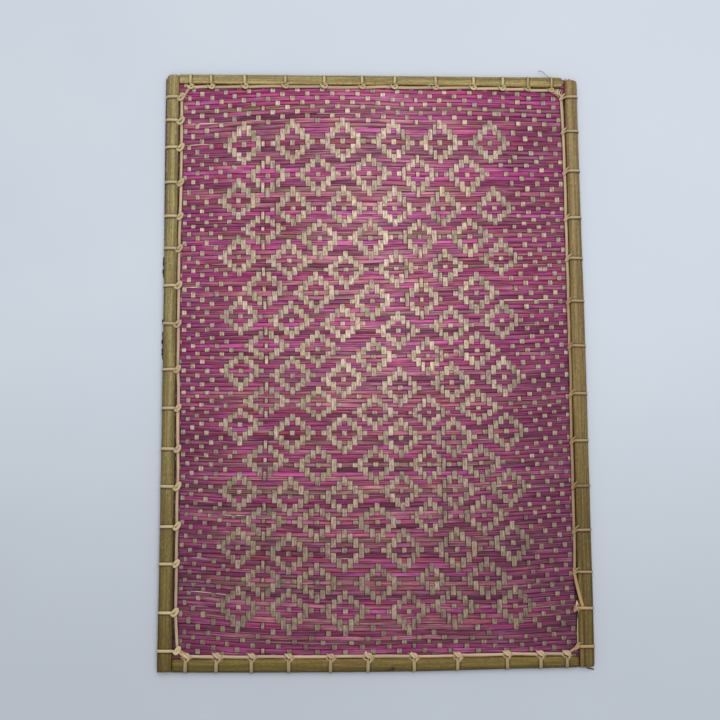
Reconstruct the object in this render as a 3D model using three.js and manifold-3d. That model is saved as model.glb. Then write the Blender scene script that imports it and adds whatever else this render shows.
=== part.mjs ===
// Bamboo placemat: a hand-woven panel of flat split-bamboo strips with four
// split-bamboo rails laid on its edges. A rattan strip runs along the inner
// side of each rail and is looped round the rail and the panel's edge.
// Units are millimetres, +Z up. The mat lies flat, its long side along Y.

import * as THREE from "three";
import { mergeVertices } from "three/addons/utils/BufferGeometryUtils.js";
import Module from "manifold-3d";

const wasm = await Module();
wasm.setup();

// ---------------------------------------------------------------- sizes

const WIDTH = 305; // nominal, across the rails' outer faces
const LENGTH = 430; // nominal, along the side rails
const HALF_W = WIDTH / 2;
const HALF_L = LENGTH / 2;

const GAP = 0.3; // between pieces that touch
const STRIP_T = 0.8; // rattan strip's thickness
const STRIP_W = 2.3; // running strip's width
const LOOP_W = 2.2; // loop's width along the rail
const STRIP_LAP = 0.35; // how far a loop's inner leg cuts into the running strip

const PANEL_T = 1.2; // two layers of woven strips
const PANEL_Z = STRIP_T + GAP; // the panel lies on the loops' undersides
const PANEL_TOP = PANEL_Z + PANEL_T;
const RAIL_Z = PANEL_TOP + GAP;
const RAIL_H = 3.0; // split bamboo's height
const RAIL_EDGE_H = 0.7; // flat flank under the dome
const RAIL_STEPS = 10; // facets over the dome
const SLOT_ROOM = 0.3; // round a loop where it passes through the weave

// The four sides. inward points from the rail to the middle of the mat and
// along is the way the loop positions are counted. start is where along
// counts from, and line is the nominal outer line of the side.
const SIDES = {
  left: { inward: [1, 0], along: [0, -1], start: HALF_L, line: -HALF_W },
  right: { inward: [-1, 0], along: [0, -1], start: HALF_L, line: HALF_W },
  top: { inward: [0, -1], along: [1, 0], start: -HALF_W, line: HALF_L },
  bottom: { inward: [0, 1], along: [1, 0], start: -HALF_W, line: -HALF_L },
};

// Rails: from and to are along the side; the faces are distances inward
// from the side's nominal line (negative lies outside it) at each end.
const RAILS = [
  { side: "left", from: 0.1, to: 430.2, outerA: 0.1, innerA: 9.2, outerB: 0.0, innerB: 9.6 },
  { side: "right", from: 0.8, to: 429.0, outerA: 0.9, innerA: 9.4, outerB: -0.2, innerB: 10.1 },
  { side: "top", from: 9.6, to: 292.8, outerA: -0.8, innerA: 5.8, outerB: -1.6, innerB: 5.5 },
  { side: "bottom", from: 10.0, to: 294.0, outerA: -0.3, innerA: 8.7, outerB: -0.6, innerB: 7.0 },
];

// Loops: at is the distance along the side, inset the distance of the
// running strip's middle from the side's nominal line at that loop.
const LOOPS = {
  left: [
    { at: 17.0, inset: 10.9 }, { at: 35.1, inset: 10.9 }, { at: 55.2, inset: 11.0 },
    { at: 81.6, inset: 11.2 }, { at: 107.0, inset: 11.0 }, { at: 130.8, inset: 11.3 },
    { at: 157.9, inset: 11.1 }, { at: 186.1, inset: 10.9 }, { at: 218.8, inset: 11.2 },
    { at: 246.7, inset: 11.9 }, { at: 275.8, inset: 12.1 }, { at: 302.4, inset: 12.3 },
    { at: 330.2, inset: 12.4 }, { at: 356.2, inset: 12.2 }, { at: 389.8, inset: 11.8 },
    { at: 415.8, inset: 13.8 },
  ],
  right: [
    { at: 12.7, inset: 11.8 }, { at: 39.5, inset: 11.3 }, { at: 70.7, inset: 11.1 },
    { at: 106.1, inset: 11.25 }, { at: 136.3, inset: 11.1 }, { at: 168.1, inset: 11.2 },
    { at: 201.0, inset: 11.0 }, { at: 236.0, inset: 11.2 }, { at: 270.1, inset: 11.4 },
    { at: 302.6, inset: 11.3 }, { at: 333.9, inset: 11.4 }, { at: 363.0, inset: 11.8 },
    { at: 388.3, inset: 11.5 }, { at: 415.0, inset: 11.7 },
  ],
  top: [
    { at: 17.3, inset: 8.9 }, { at: 32.6, inset: 8.7 }, { at: 57.3, inset: 8.3 },
    { at: 87.0, inset: 7.6 }, { at: 115.7, inset: 7.3 }, { at: 143.8, inset: 7.5 },
    { at: 167.8, inset: 7.2 }, { at: 198.4, inset: 7.5 }, { at: 226.6, inset: 7.25 },
    { at: 248.4, inset: 7.4 }, { at: 267.1, inset: 7.7 }, { at: 285.0, inset: 8.6 },
  ],
  bottom: [
    { at: 19.2, inset: 10.7 }, { at: 40.4, inset: 10.6 }, { at: 64.6, inset: 10.4 },
    { at: 90.3, inset: 10.0 }, { at: 119.5, inset: 9.7 }, { at: 145.8, inset: 9.8 },
    { at: 177.6, inset: 9.4 }, { at: 208.4, inset: 9.2 }, { at: 243.0, inset: 9.3 },
    { at: 266.7, inset: 9.0 }, { at: 285.4, inset: 8.9 },
  ],
};

// Where each side strip carries on past its end loops, slanting across the
// mat's corner towards the last loop of the top or bottom rail.
const CORNER_ENDS = {
  left: { first: { at: 11.6, inset: 14.3 }, last: { at: 418.4, inset: 16.6 } },
  right: { first: { at: 9.8, inset: 15.6 }, last: { at: 419.0, inset: 16.4 } },
};

// Ends of weaving strips that stand out past the rails: on a side, from and
// to are along it and out is how far they reach past the nominal line.
const PANEL_INSET = { left: 0.2, right: 1.6, top: 0.2, bottom: 0.2 };
const PEEKS = [
  { side: "top", from: 293.2, to: 301.4, out: 0.2 },
  { side: "right", from: 426.2, to: 430.0, out: 0.4 },
  { side: "bottom", from: 300.2, to: 305.0, out: 1.2 },
  { side: "left", from: 138.4, to: 151.0, out: 0.7 },
  { side: "left", from: 189.0, to: 209.6, out: 0.9 },
];

// ------------------------------------------------------------- helpers

const lerp = (a, b, t) => a + (b - a) * t;

// World position of a point given along a side and inward from its line.
function sidePoint(name, at, inset) {
  const s = SIDES[name];
  const alongX = s.along[0] !== 0;
  const run = s.start + at * (alongX ? s.along[0] : s.along[1]);
  const off = s.line + inset * (alongX ? s.inward[1] : s.inward[0]);
  return alongX ? [run, off] : [off, run];
}

function toManifold(geometry) {
  const bare = geometry.clone();
  bare.deleteAttribute("normal");
  bare.deleteAttribute("uv");
  const merged = mergeVertices(bare, 1e-4);
  return new wasm.Manifold(new wasm.Mesh({
    numProp: 3,
    vertProperties: new Float32Array(merged.attributes.position.array),
    triVerts: new Uint32Array(merged.index.array),
  }));
}

function fromManifold(solid) {
  const mesh = solid.getMesh();
  const geometry = new THREE.BufferGeometry();
  geometry.setAttribute("position", new THREE.BufferAttribute(new Float32Array(mesh.vertProperties), 3));
  geometry.setIndex(new THREE.BufferAttribute(new Uint32Array(mesh.triVerts), 1));
  geometry.computeVertexNormals();
  return geometry;
}

function extrude(shape, depth) {
  return new THREE.ExtrudeGeometry(shape, { depth, steps: 1, bevelEnabled: false, curveSegments: 1 });
}

function outline(points) {
  return new THREE.Shape(points.map(([x, y]) => new THREE.Vector2(x, y)));
}

// Turns a section drawn as (inward, up) into a length along a side.
function standOnSide(geometry, name, at, depth) {
  const s = SIDES[name];
  const inward = new THREE.Vector3(s.inward[0], s.inward[1], 0);
  const up = new THREE.Vector3(0, 0, 1);
  const run = new THREE.Vector3().crossVectors(inward, up);
  const [x, y] = sidePoint(name, at, 0);
  const m = new THREE.Matrix4().makeBasis(inward, up, run);
  m.setPosition(x - run.x * depth / 2, y - run.y * depth / 2, 0);
  return geometry.applyMatrix4(m);
}

// ----------------------------------------------------------------- rails

// Height of the rail's dome above its flat underside, at a share of width.
function domeHeight(share) {
  const x = 2 * share - 1;
  return RAIL_EDGE_H + (RAIL_H - RAIL_EDGE_H) * Math.sqrt(Math.max(0, 1 - x * x * 0.94));
}

function railSection(width) {
  const pts = [[0, 0]];
  for (let i = RAIL_STEPS; i >= 0; i--) {
    const share = 0.5 - 0.5 * Math.cos((Math.PI * i) / RAIL_STEPS);
    pts.push([share * width, domeHeight(share)]);
  }
  pts.splice(1, 0, [width, 0]);
  return pts;
}

function railGeometry(rail) {
  const length = rail.to - rail.from;
  const geometry = extrude(outline(railSection(1)), length);
  const s = SIDES[rail.side];
  const pos = geometry.attributes.position;
  const alongX = s.along[0] !== 0;
  for (let i = 0; i < pos.count; i++) {
    const t = pos.getZ(i) / length;
    const outer = lerp(rail.outerA, rail.outerB, t);
    const inner = lerp(rail.innerA, rail.innerB, t);
    const [x, y] = sidePoint(rail.side, rail.from + pos.getZ(i), lerp(outer, inner, pos.getX(i)));
    pos.setXYZ(i, x, y, RAIL_Z + pos.getY(i));
  }
  // The section is drawn inward by up; where along is not inward x up the
  // mapping mirrors it, so its faces are turned round.
  const cross = s.inward[0] * s.along[1] - s.inward[1] * s.along[0];
  const mirrored = cross > 0;
  return fromManifold(toManifold(mirrored ? flip(geometry) : geometry));
}

function flip(geometry) {
  const pos = geometry.attributes.position;
  for (let i = 0; i < pos.count; i += 3) {
    const a = new THREE.Vector3().fromBufferAttribute(pos, i);
    const b = new THREE.Vector3().fromBufferAttribute(pos, i + 1);
    pos.setXYZ(i, b.x, b.y, b.z);
    pos.setXYZ(i + 1, a.x, a.y, a.z);
  }
  return geometry;
}

function railEdges(name, at) {
  const rail = RAILS.find((r) => r.side === name);
  const t = Math.min(1, Math.max(0, (at - rail.from) / (rail.to - rail.from)));
  return { outer: lerp(rail.outerA, rail.outerB, t), inner: lerp(rail.innerA, rail.innerB, t) };
}

// --------------------------------------------------------------- lashing

// A loop is a closed band: under the panel, up past its edge, over the rail
// and the running strip, and down through the weave.
function loopBand(name, loop) {
  const { outer, inner } = railEdges(name, loop.at);
  const u0 = outer - GAP;
  const u1 = loop.inset + STRIP_W / 2 - STRIP_LAP;
  const low = RAIL_Z + RAIL_EDGE_H + GAP;
  const high = RAIL_Z + RAIL_H + GAP;
  const w = inner - outer;
  const over = RAIL_Z + STRIP_T - 0.1;
  const t = STRIP_T;
  const hole = [
    [u0, t], [u0, low + 0.5], [outer + w * 0.18, high - 0.45], [outer + w * 0.36, high],
    [outer + w * 0.64, high], [outer + w * 0.82, high - 0.45], [inner + GAP, low + 0.5], [u1, over], [u1, t],
  ];
  const rim = [
    [u0 - t, 0], [u1 + t, 0], [u1 + t, over + 0.35], [inner + GAP + 0.55, low + 0.5 + 0.7],
    [outer + w * 0.82 + 0.35, high + 0.35], [outer + w * 0.64 + 0.1, high + t],
    [outer + w * 0.36 - 0.1, high + t], [outer + w * 0.18 - 0.35, high + 0.35], [u0 - t, low + 0.75],
  ];
  const shape = outline(rim);
  shape.holes.push(new THREE.Path(hole.map(([x, y]) => new THREE.Vector2(x, y))));
  return toManifold(standOnSide(extrude(shape, LOOP_W), name, loop.at, LOOP_W));
}

// The running strip lies on the panel from loop to loop, as one flat band
// whose middle follows the insets.
function runningStrip(name) {
  const loops = LOOPS[name];
  const ends = CORNER_ENDS[name];
  const path = loops.map((l) => ({ ...l }));
  if (ends) {
    path.unshift({ ...ends.first });
    path.push({ ...ends.last });
  } else {
    path[0].at -= LOOP_W / 2 + GAP;
    path[path.length - 1].at += LOOP_W / 2 + GAP;
  }
  const mid = path.map((p) => new THREE.Vector2(...sidePoint(name, p.at, p.inset)));
  const leftSide = [];
  const rightSide = [];
  mid.forEach((p, i) => {
    const before = mid[Math.max(0, i - 1)];
    const after = mid[Math.min(mid.length - 1, i + 1)];
    const d1 = p.clone().sub(before).normalize();
    const d2 = after.clone().sub(p).normalize();
    const dir = (i === 0 ? d2 : i === mid.length - 1 ? d1 : d1.add(d2)).normalize();
    const n = new THREE.Vector2(-dir.y, dir.x).multiplyScalar(STRIP_W / 2);
    leftSide.push(p.clone().add(n));
    rightSide.push(p.clone().sub(n));
  });
  const geometry = extrude(new THREE.Shape([...leftSide, ...rightSide.reverse()]), STRIP_T);
  return toManifold(geometry.translate(0, 0, RAIL_Z));
}

function lashing(name) {
  return LOOPS[name].reduce((solid, loop) => solid.add(loopBand(name, loop)), runningStrip(name));
}

// ----------------------------------------------------------------- panel

function panelOutline() {
  const order = ["top", "right", "bottom", "left"];
  const corner = { top: WIDTH, right: LENGTH, bottom: WIDTH, left: LENGTH };
  const points = [];
  for (const name of order) {
    const backwards = name === "bottom" || name === "left";
    const base = PANEL_INSET[name];
    const side = [{ at: 0, inset: base }];
    for (const peek of PEEKS.filter((p) => p.side === name)) {
      side.push({ at: peek.from, inset: base }, { at: peek.from, inset: -peek.out });
      side.push({ at: peek.to, inset: -peek.out }, { at: peek.to, inset: base });
    }
    side.push({ at: corner[name], inset: base });
    if (backwards) side.reverse();
    // A side's end corners are given by its neighbours' insets as well.
    for (const p of side) {
      let [x, y] = sidePoint(name, p.at, p.inset);
      if (p.at === 0 || p.at === corner[name]) {
        x = Math.min(HALF_W - PANEL_INSET.right, Math.max(-HALF_W + PANEL_INSET.left, x));
        y = Math.min(HALF_L - PANEL_INSET.top, Math.max(-HALF_L + PANEL_INSET.bottom, y));
      }
      const last = points[points.length - 1];
      if (!last || Math.hypot(last[0] - x, last[1] - y) > 0.01) points.push([x, y]);
    }
  }
  return points.reverse();
}

function panelSolid() {
  let solid = toManifold(extrude(outline(panelOutline()), PANEL_T).translate(0, 0, PANEL_Z));
  for (const [name, loops] of Object.entries(LOOPS)) {
    for (const loop of loops) {
      const u = loop.inset + STRIP_W / 2 - STRIP_LAP + STRIP_T / 2;
      const [x, y] = sidePoint(name, loop.at, u);
      const thick = STRIP_T + 2 * SLOT_ROOM;
      const wide = LOOP_W + 2 * SLOT_ROOM;
      const alongX = SIDES[name].along[0] !== 0;
      const slot = new THREE.BoxGeometry(alongX ? wide : thick, alongX ? thick : wide, PANEL_T + 2);
      solid = solid.subtract(toManifold(slot.translate(x, y, PANEL_Z + PANEL_T / 2)));
    }
  }
  return solid;
}

// -------------------------------------------------------------- the mat

const bamboo = { color: 0x968252, roughness: 0.55, metalness: 0 };
const rattan = { color: 0xcdb487, roughness: 0.6, metalness: 0 };
const weave = { color: 0x9c4a78, roughness: 0.5, metalness: 0 };

const mat = new THREE.Group();
mat.name = "placemat";

function put(name, geometry, look) {
  const mesh = new THREE.Mesh(geometry, new THREE.MeshStandardMaterial(look));
  mesh.name = name;
  mat.add(mesh);
}

put("panel", fromManifold(panelSolid()), weave);
for (const rail of RAILS) put(`rail_${rail.side}`, railGeometry(rail), bamboo);
for (const name of Object.keys(LOOPS)) put(`lashing_${name}`, fromManifold(lashing(name)), rattan);

// The origin is at the middle of the mat's box, on the surface it lies on.
const box = new THREE.Box3().setFromObject(mat);
const centre = box.getCenter(new THREE.Vector3());
for (const mesh of mat.children) mesh.position.set(-centre.x, -centre.y, -box.min.z);

export default mat;
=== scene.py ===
import math

import bpy
import numpy as np
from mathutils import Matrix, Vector


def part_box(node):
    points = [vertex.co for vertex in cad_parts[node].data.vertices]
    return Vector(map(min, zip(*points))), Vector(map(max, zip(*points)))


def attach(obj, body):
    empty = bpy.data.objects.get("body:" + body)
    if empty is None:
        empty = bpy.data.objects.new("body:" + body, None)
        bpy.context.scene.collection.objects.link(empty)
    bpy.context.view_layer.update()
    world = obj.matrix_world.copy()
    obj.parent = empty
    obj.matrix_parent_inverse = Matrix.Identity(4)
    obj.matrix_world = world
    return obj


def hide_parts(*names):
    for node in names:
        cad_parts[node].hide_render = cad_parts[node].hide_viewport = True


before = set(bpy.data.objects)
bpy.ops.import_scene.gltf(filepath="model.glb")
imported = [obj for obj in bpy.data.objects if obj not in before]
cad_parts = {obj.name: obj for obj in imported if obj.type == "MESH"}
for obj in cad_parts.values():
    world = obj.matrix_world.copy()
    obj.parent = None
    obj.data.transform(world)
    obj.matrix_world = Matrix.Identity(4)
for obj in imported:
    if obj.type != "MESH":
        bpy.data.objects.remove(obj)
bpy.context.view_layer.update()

MM = 0.001

# ---------------------------------------------------------------- places
# Everything on the mat is placed in its own millimetres: u runs right from the left outer line,
# v runs down from the top outer line. The panel's box in the frame ties them to the CAD.
_lo, _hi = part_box("panel")
OX = _lo.x / MM - 0.2
OY = _hi.y / MM + 0.2
Z_PANEL = 0.5 * (_lo.z + _hi.z) / MM


def X(u):
    return (u + OX) * MM


def Y(v):
    return (OY - v) * MM


RNG = np.random.default_rng(394)


def wobble(seed, x, step, amp):
    """Smooth noise along x: one random knot every step, joined by cosines."""
    x = np.asarray(x, float) / step
    i = np.floor(x).astype(int)
    f = x - i
    f = f * f * (3 - 2 * f)

    def knot(k):
        h = (k * 374761393 + int(seed) * 668265263) & 0x7FFFFFFF
        h = ((h ^ (h >> 13)) * 1274126177) & 0x7FFFFFFF
        return ((h ^ (h >> 16)) & 0xFFFF) / 32767.5 - 1.0

    return amp * (knot(i) * (1 - f) + knot(i + 1) * f)


# ---------------------------------------------------------------- the weave's chart
# Warps are numbered from 0 in the middle, wefts from 0 at the first row of diamonds.
# Each row of diamonds: the weft and the warp through each middle, and where that middle lies
# (quarter millimetres from the left and the top outer line).
DIAMONDS = [
    # wefts, warps, left, top
    ((0,) * 6, (-30, -20, -10, 0, 10, 20), (227, 369, 517, 668, 804, 953), (208, 200, 194, 195, 196, 196)),
    ((7,) * 5, (-25, -15, -5, 5, 15), (297, 444, 594, 738, 884), (302, 296, 292, 294, 294)),
    ((12, 14, 14, 14, 14, 14), (-31, -20, -10, 0, 10, 20), (212, 371, 520, 669, 811, 963), (377, 399, 398, 397, 396, 394)),
    ((19, 21, 21, 21, 21), (-26, -15, -5, 5, 15), (283, 449, 597, 741, 889), (461, 488, 487, 483, 480)),
    ((25, 26, 28, 28, 28, 26), (-31, -21, -10, 0, 10, 21), (214, 360, 525, 672, 815, 980), (545, 555, 580, 576, 570, 545)),
    ((32, 33, 35, 35, 34), (-26, -16, -5, 5, 16), (288, 438, 601, 745, 906), (639, 650, 674, 669, 648)),
    ((38, 39, 40, 42, 41, 40), (-31, -21, -11, 0, 11, 21), (220, 367, 515, 676, 828, 979), (720, 731, 740, 760, 744, 729)),
    ((45, 46, 48, 48, 47), (-26, -16, -5, 6, 16), (295, 443, 604, 760, 904), (805, 815, 836, 833, 818)),
    ((51, 52, 53, 55, 54, 53), (-31, -21, -11, 0, 11, 21), (223, 371, 517, 680, 829, 982), (879, 892, 903, 927, 911, 895)),
    ((58, 59, 61, 61, 60), (-26, -16, -5, 6, 16), (296, 445, 606, 762, 905), (964, 976, 998, 998, 985)),
    ((64, 66, 66, 67, 67, 66), (-31, -21, -11, 0, 11, 21), (221, 370, 519, 681, 832, 985), (1033, 1057, 1058, 1071, 1070, 1052)),
    ((72, 73, 73, 73, 73), (-26, -16, -5, 6, 16), (293, 444, 608, 761, 911), (1134, 1149, 1147, 1147, 1143)),
    ((79, 80, 80, 79, 79, 79), (-31, -21, -11, 0, 11, 21), (220, 364, 519, 683, 834, 992), (1224, 1238, 1239, 1223, 1221, 1212)),
    ((86, 86, 86, 85, 85), (-26, -16, -5, 6, 16), (290, 439, 612, 762, 916), (1307, 1311, 1310, 1297, 1292)),
    ((92, 93, 92, 92, 92, 91), (-31, -21, -11, 0, 11, 21), (218, 360, 518, 687, 838, 998), (1380, 1398, 1390, 1390, 1388, 1370)),
    ((99, 99, 99, 98, 98), (-26, -16, -5, 6, 16), (288, 440, 613, 764, 922), (1471, 1478, 1482, 1470, 1469)),
    ((105, 105, 105, 105, 104, 104), (-31, -21, -11, 1, 10, 21), (221, 361, 520, 699, 826, 1000), (1545, 1553, 1559, 1560, 1547, 1547)),
]
SMALL_DIAMOND = (15, 3)  # row of diamonds, place in it: this one is a size smaller

# which wefts the warps lie over, counted from a diamond's middle, by warps from its middle
DIAMOND = {0: (-4, -3, 0, 3, 4), 1: (-3, -2, 2, 3), 2: (-2, -1, 1, 2), 3: (-1, 0, 1), 4: (0,)}
DIAMOND_SMALL = {0: (-3, -2, 2, 3), 1: (-2, -1, 1, 2), 2: (-1, 0, 1), 3: (0,)}

# middles of the warps outside the diamonds, at seven heights (quarter millimetres)
WARPS_LEFT = {  # top: warps -43, -42 ... -32
    60: (56, 66, 78, 90, 103, 118, 132, 147, 160, 172, 185, 198),
    200: (56, 66, 78, 90, 103, 118, 132, 147, 160, 172, 185, 198),
    720: (59, 72, 85, 97, 110, 124, 139, 153, 167, 180, 193, 206),
    950: (60, 73, 86, 98, 111, 127, 141, 155, 168, 180, 193, 207),
    1230: (62, 73, 85, 98, 110, 126, 140, 154, 167, 179, 192, 206),
    1500: (60, 70, 82, 95, 108, 122, 137, 152, 164, 177, 190, 204),
    1660: (60, 70, 82, 95, 108, 122, 137, 152, 164, 177, 189, 203),
}
WARPS_RIGHT = {  # top: warps 22, 23 ... 34
    60: (984, 995, 1005, 1021, 1038, 1055, 1073, 1087, 1101, 1115, 1130, 1146, 1160),
    200: (983, 995, 1007, 1024, 1045, 1059, 1075, 1091, 1104, 1118, 1133, 1148, 1162),
    720: (993, 1007, 1020, 1033, 1053, 1066, 1080, 1095, 1108, 1123, 1138, 1152, 1164),
    950: (999, 1012, 1024, 1038, 1055, 1068, 1082, 1097, 1110, 1124, 1138, 1153, 1165),
    1230: (1006, 1020, 1033, 1046, 1060, 1074, 1087, 1101, 1113, 1128, 1142, 1156, 1168),
    1500: (1016, 1029, 1041, 1053, 1067, 1080, 1093, 1107, 1121, 1135, 1148, 1163, 1174),
    1660: (1017, 1030, 1042, 1054, 1067, 1080, 1094, 1108, 1121, 1136, 1150, 1163, 1175),
}
# warps narrower than their neighbours, in mm
NARROW = {-26: 2.35, 2: 2.7, 5: 2.6, 9: 2.7, 24: 2.75}

# middles of the wefts down three lines: near the left side, right of the middle, near the right side
# (quarter millimetres from the top outer line; ten wefts a row, 0 where it isn't read)
LINE_LEFT, LINE_MID, LINE_RIGHT = 100, 720, 1100
WEFTS = {
    # first weft: (left line), (middle line), (right line)
    -14: ((10, 25, 40), (5, 17, 30), (6, 19, 32)),
    -11: ((56, 70, 83, 96, 107, 121, 137, 153, 170, 185), (41, 53, 66, 80, 92, 106, 120, 134, 148, 164),
          (45, 58, 72, 84, 97, 109, 123, 135, 150, 167)),
    -1: ((201, 215, 232, 246, 258, 269, 282, 295, 309, 0), (182, 198, 213, 227, 241, 253, 265, 278, 293, 306),
         (183, 197, 211, 226, 241, 251, 264, 279, 290, 304)),
    9: ((0,) * 10, (321, 339, 354, 371, 387, 400, 411, 423, 435, 446), (0,) * 10),
    19: ((0, 0, 0, 0, 0, 0, 0, 0, 574, 586), (456, 468, 482, 495, 511, 527, 540, 552, 563, 574),
         (0, 0, 0, 0, 0, 0, 0, 0, 0, 565)),
    29: ((600, 612, 626, 640, 659, 673, 686, 695, 710, 722), (585, 598, 612, 626, 640, 655, 669, 681, 695, 709),
         (0, 0, 603, 617, 0, 0, 660, 0, 0, 0)),
    39: ((733, 745, 760, 775, 785, 795, 806, 817, 828, 840), (722, 735, 747, 760, 773, 784, 798, 811, 823, 833),
         (0, 727, 737, 0, 0, 0, 788, 0, 0, 0)),
    49: ((851, 865, 879, 892, 905, 917, 930, 940, 952, 964), (845, 858, 873, 885, 900, 914, 928, 941, 951, 965),
         (0, 851, 864, 875, 889, 904, 920, 932, 942, 955)),
    59: ((975, 987, 997, 1007, 1018, 1030, 1041, 1055, 1069, 1083), (979, 989, 999, 1008, 1018, 1030, 1043, 1057, 1070, 1085),
         (967, 978, 986, 996, 1008, 1019, 1033, 1046, 1058, 1072)),
    69: ((1095, 1105, 1118, 1132, 1143, 1157, 1172, 1183, 1195, 1208), (1098, 1110, 1123, 1135, 1147, 1160, 1173, 1184, 1197, 1210),
         (1086, 1098, 1109, 1120, 1133, 1144, 1159, 1169, 1182, 1197)),
    79: ((1219, 1230, 1242, 1254, 1267, 1278, 1286, 1298, 1309, 1322), (1222, 1234, 1247, 1261, 1273, 1285, 1297, 1309, 1321, 1333),
         (1209, 1220, 1233, 1247, 1259, 1270, 1282, 1294, 1307, 1322)),
    89: ((1336, 1348, 1361, 1374, 1387, 1400, 1411, 1425, 1436, 1448), (1346, 1360, 1374, 1389, 1403, 1418, 1433, 1447, 1457, 1469),
         (1336, 1350, 1364, 1380, 1394, 1408, 1420, 1436, 1447, 1460)),
    99: ((1460, 1470, 1483, 1493, 1504, 1518, 1532, 1548, 1561, 1579), (1482, 1495, 1508, 1521, 1532, 1545, 1558, 1571, 1586, 1603),
         (1474, 1490, 1502, 1514, 1528, 1540, 1553, 1569, 1584, 1596)),
    109: ((1600, 1614, 1627, 1639, 1650, 1664, 1680, 1695, 1711), (1619, 1632, 1643, 1654, 1668, 1680, 1691, 1702, 1713),
          (1612, 1628, 1638, 1651, 1662, 1676, 1688, 1700, 1712)),
}
WEFT_FIRST, WEFT_LAST = -14, 117
WARP_FIRST, WARP_LAST = -47, 37

# each weft's dye: M magenta, B bright, P plum, K dusty rose, O olive, R red plum, D dusty plum
DYES_ABOVE = "PMM" + "MMBMODPKDBD"  # wefts -14 ... -1
DYES = ("RPDDDDBMBP" "OKRKPBBDPM" "OOBMDKRPOM" "MKMKDPRBDM" "BKPMDBMPKD" "MBKPDDRKMK"
        "RRMDMPRPDM" "KMROPBKBKO" "DMPDKKMPMK" "ODDPRDRBPK" "ODPMKMMKMP" "KDMBMPMD")
DYE_RGB = {
    "M": (172, 50, 112), "B": (188, 70, 140), "P": (122, 32, 76), "K": (182, 100, 122),
    "O": (148, 98, 94), "R": (150, 50, 78), "D": (150, 74, 102),
}


def spline(points, values, stiff):
    """A thin-plate surface through scattered values; returns a function of (x, y) arrays."""
    p = np.asarray(points, float)
    n = len(p)

    def phi(a, b):
        d2 = ((a[:, None, :] - b[None, :, :]) ** 2).sum(2)
        return 0.5 * d2 * np.log(d2 + 1e-9)

    m = np.zeros((n + 3, n + 3))
    m[:n, :n] = phi(p, p) + stiff * np.eye(n)
    m[:n, n] = m[n, :n] = 1
    m[:n, n + 1:] = p
    m[n + 1:, :n] = p.T
    w = np.linalg.solve(m, np.concatenate([np.asarray(values, float), np.zeros(3)]))

    def at(x, y):
        q = np.stack([np.ravel(x), np.ravel(y)], 1).astype(float)
        out = np.empty(len(q))
        for i in range(0, len(q), 4000):
            k = q[i:i + 4000]
            out[i:i + 4000] = phi(k, p) @ w[:n] + w[n] + k @ w[n + 1:]
        return out.reshape(np.shape(x))

    return at


def chart_surfaces():
    mid = {}
    left, right = {}, {}
    for first, (l, m, r) in WEFTS.items():
        for i in range(len(m)):
            mid[first + i] = m[i]
            if l[i]:
                left[first + i] = l[i]
            if r[i]:
                right[first + i] = r[i]
    # along a weft: how far it lies from the middle line's reading
    pts, vals = [], []
    for line, table in ((LINE_LEFT, left), (LINE_MID, mid), (LINE_RIGHT, right)):
        for r, yv in table.items():
            pts.append((line * 0.22, r * 3.2))
            vals.append(yv - mid[r])
    wpts, wvals = [], []
    for wefts, warps, xs, ys in DIAMONDS:
        for r, c, x, y in zip(wefts, warps, xs, ys):
            pts.append((x * 0.22, r * 3.2))
            vals.append(y - mid[r])
            wpts.append((c * 3.4, y * 0.09))
            wvals.append(x - c * 13.9)
    drop = spline(pts, vals, 6.0)
    for table, first in ((WARPS_LEFT, -43), (WARPS_RIGHT, 22)):
        for y, xs in table.items():
            for i, x in enumerate(xs):
                wpts.append(((first + i) * 3.4, y * 0.09))
                wvals.append(x - (first + i) * 13.9)
    side = spline(wpts, wvals, 2.0)
    return mid, drop, side


MIDLINE, DROP, SIDE = chart_surfaces()
CS = np.arange(WARP_FIRST, WARP_LAST + 1)
RS = np.arange(WEFT_FIRST, WEFT_LAST + 1)


def crossings():
    c = np.repeat(CS[:, None], len(RS), 1).astype(float)
    r = np.repeat(RS[None, :], len(CS), 0).astype(float)
    base = np.array([MIDLINE[int(k)] for k in RS], float)[None, :].repeat(len(CS), 0)
    v = base.copy()
    for _ in range(4):
        u = c * 13.9 + SIDE(c * 3.4, v * 0.09)
        v = base + DROP(np.clip(u, 20, 1200) * 0.22, r * 3.2)
    # the warps past the readings keep an even pitch
    for i, k in enumerate(CS):
        if k < -43:
            u[i] = u[list(CS).index(-43)] + (k + 43) * 13.2
        if k > 34:
            u[i] = u[list(CS).index(34)] + (k - 34) * 12.6
    return u / 4.0, v / 4.0


U, V = crossings()


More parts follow.
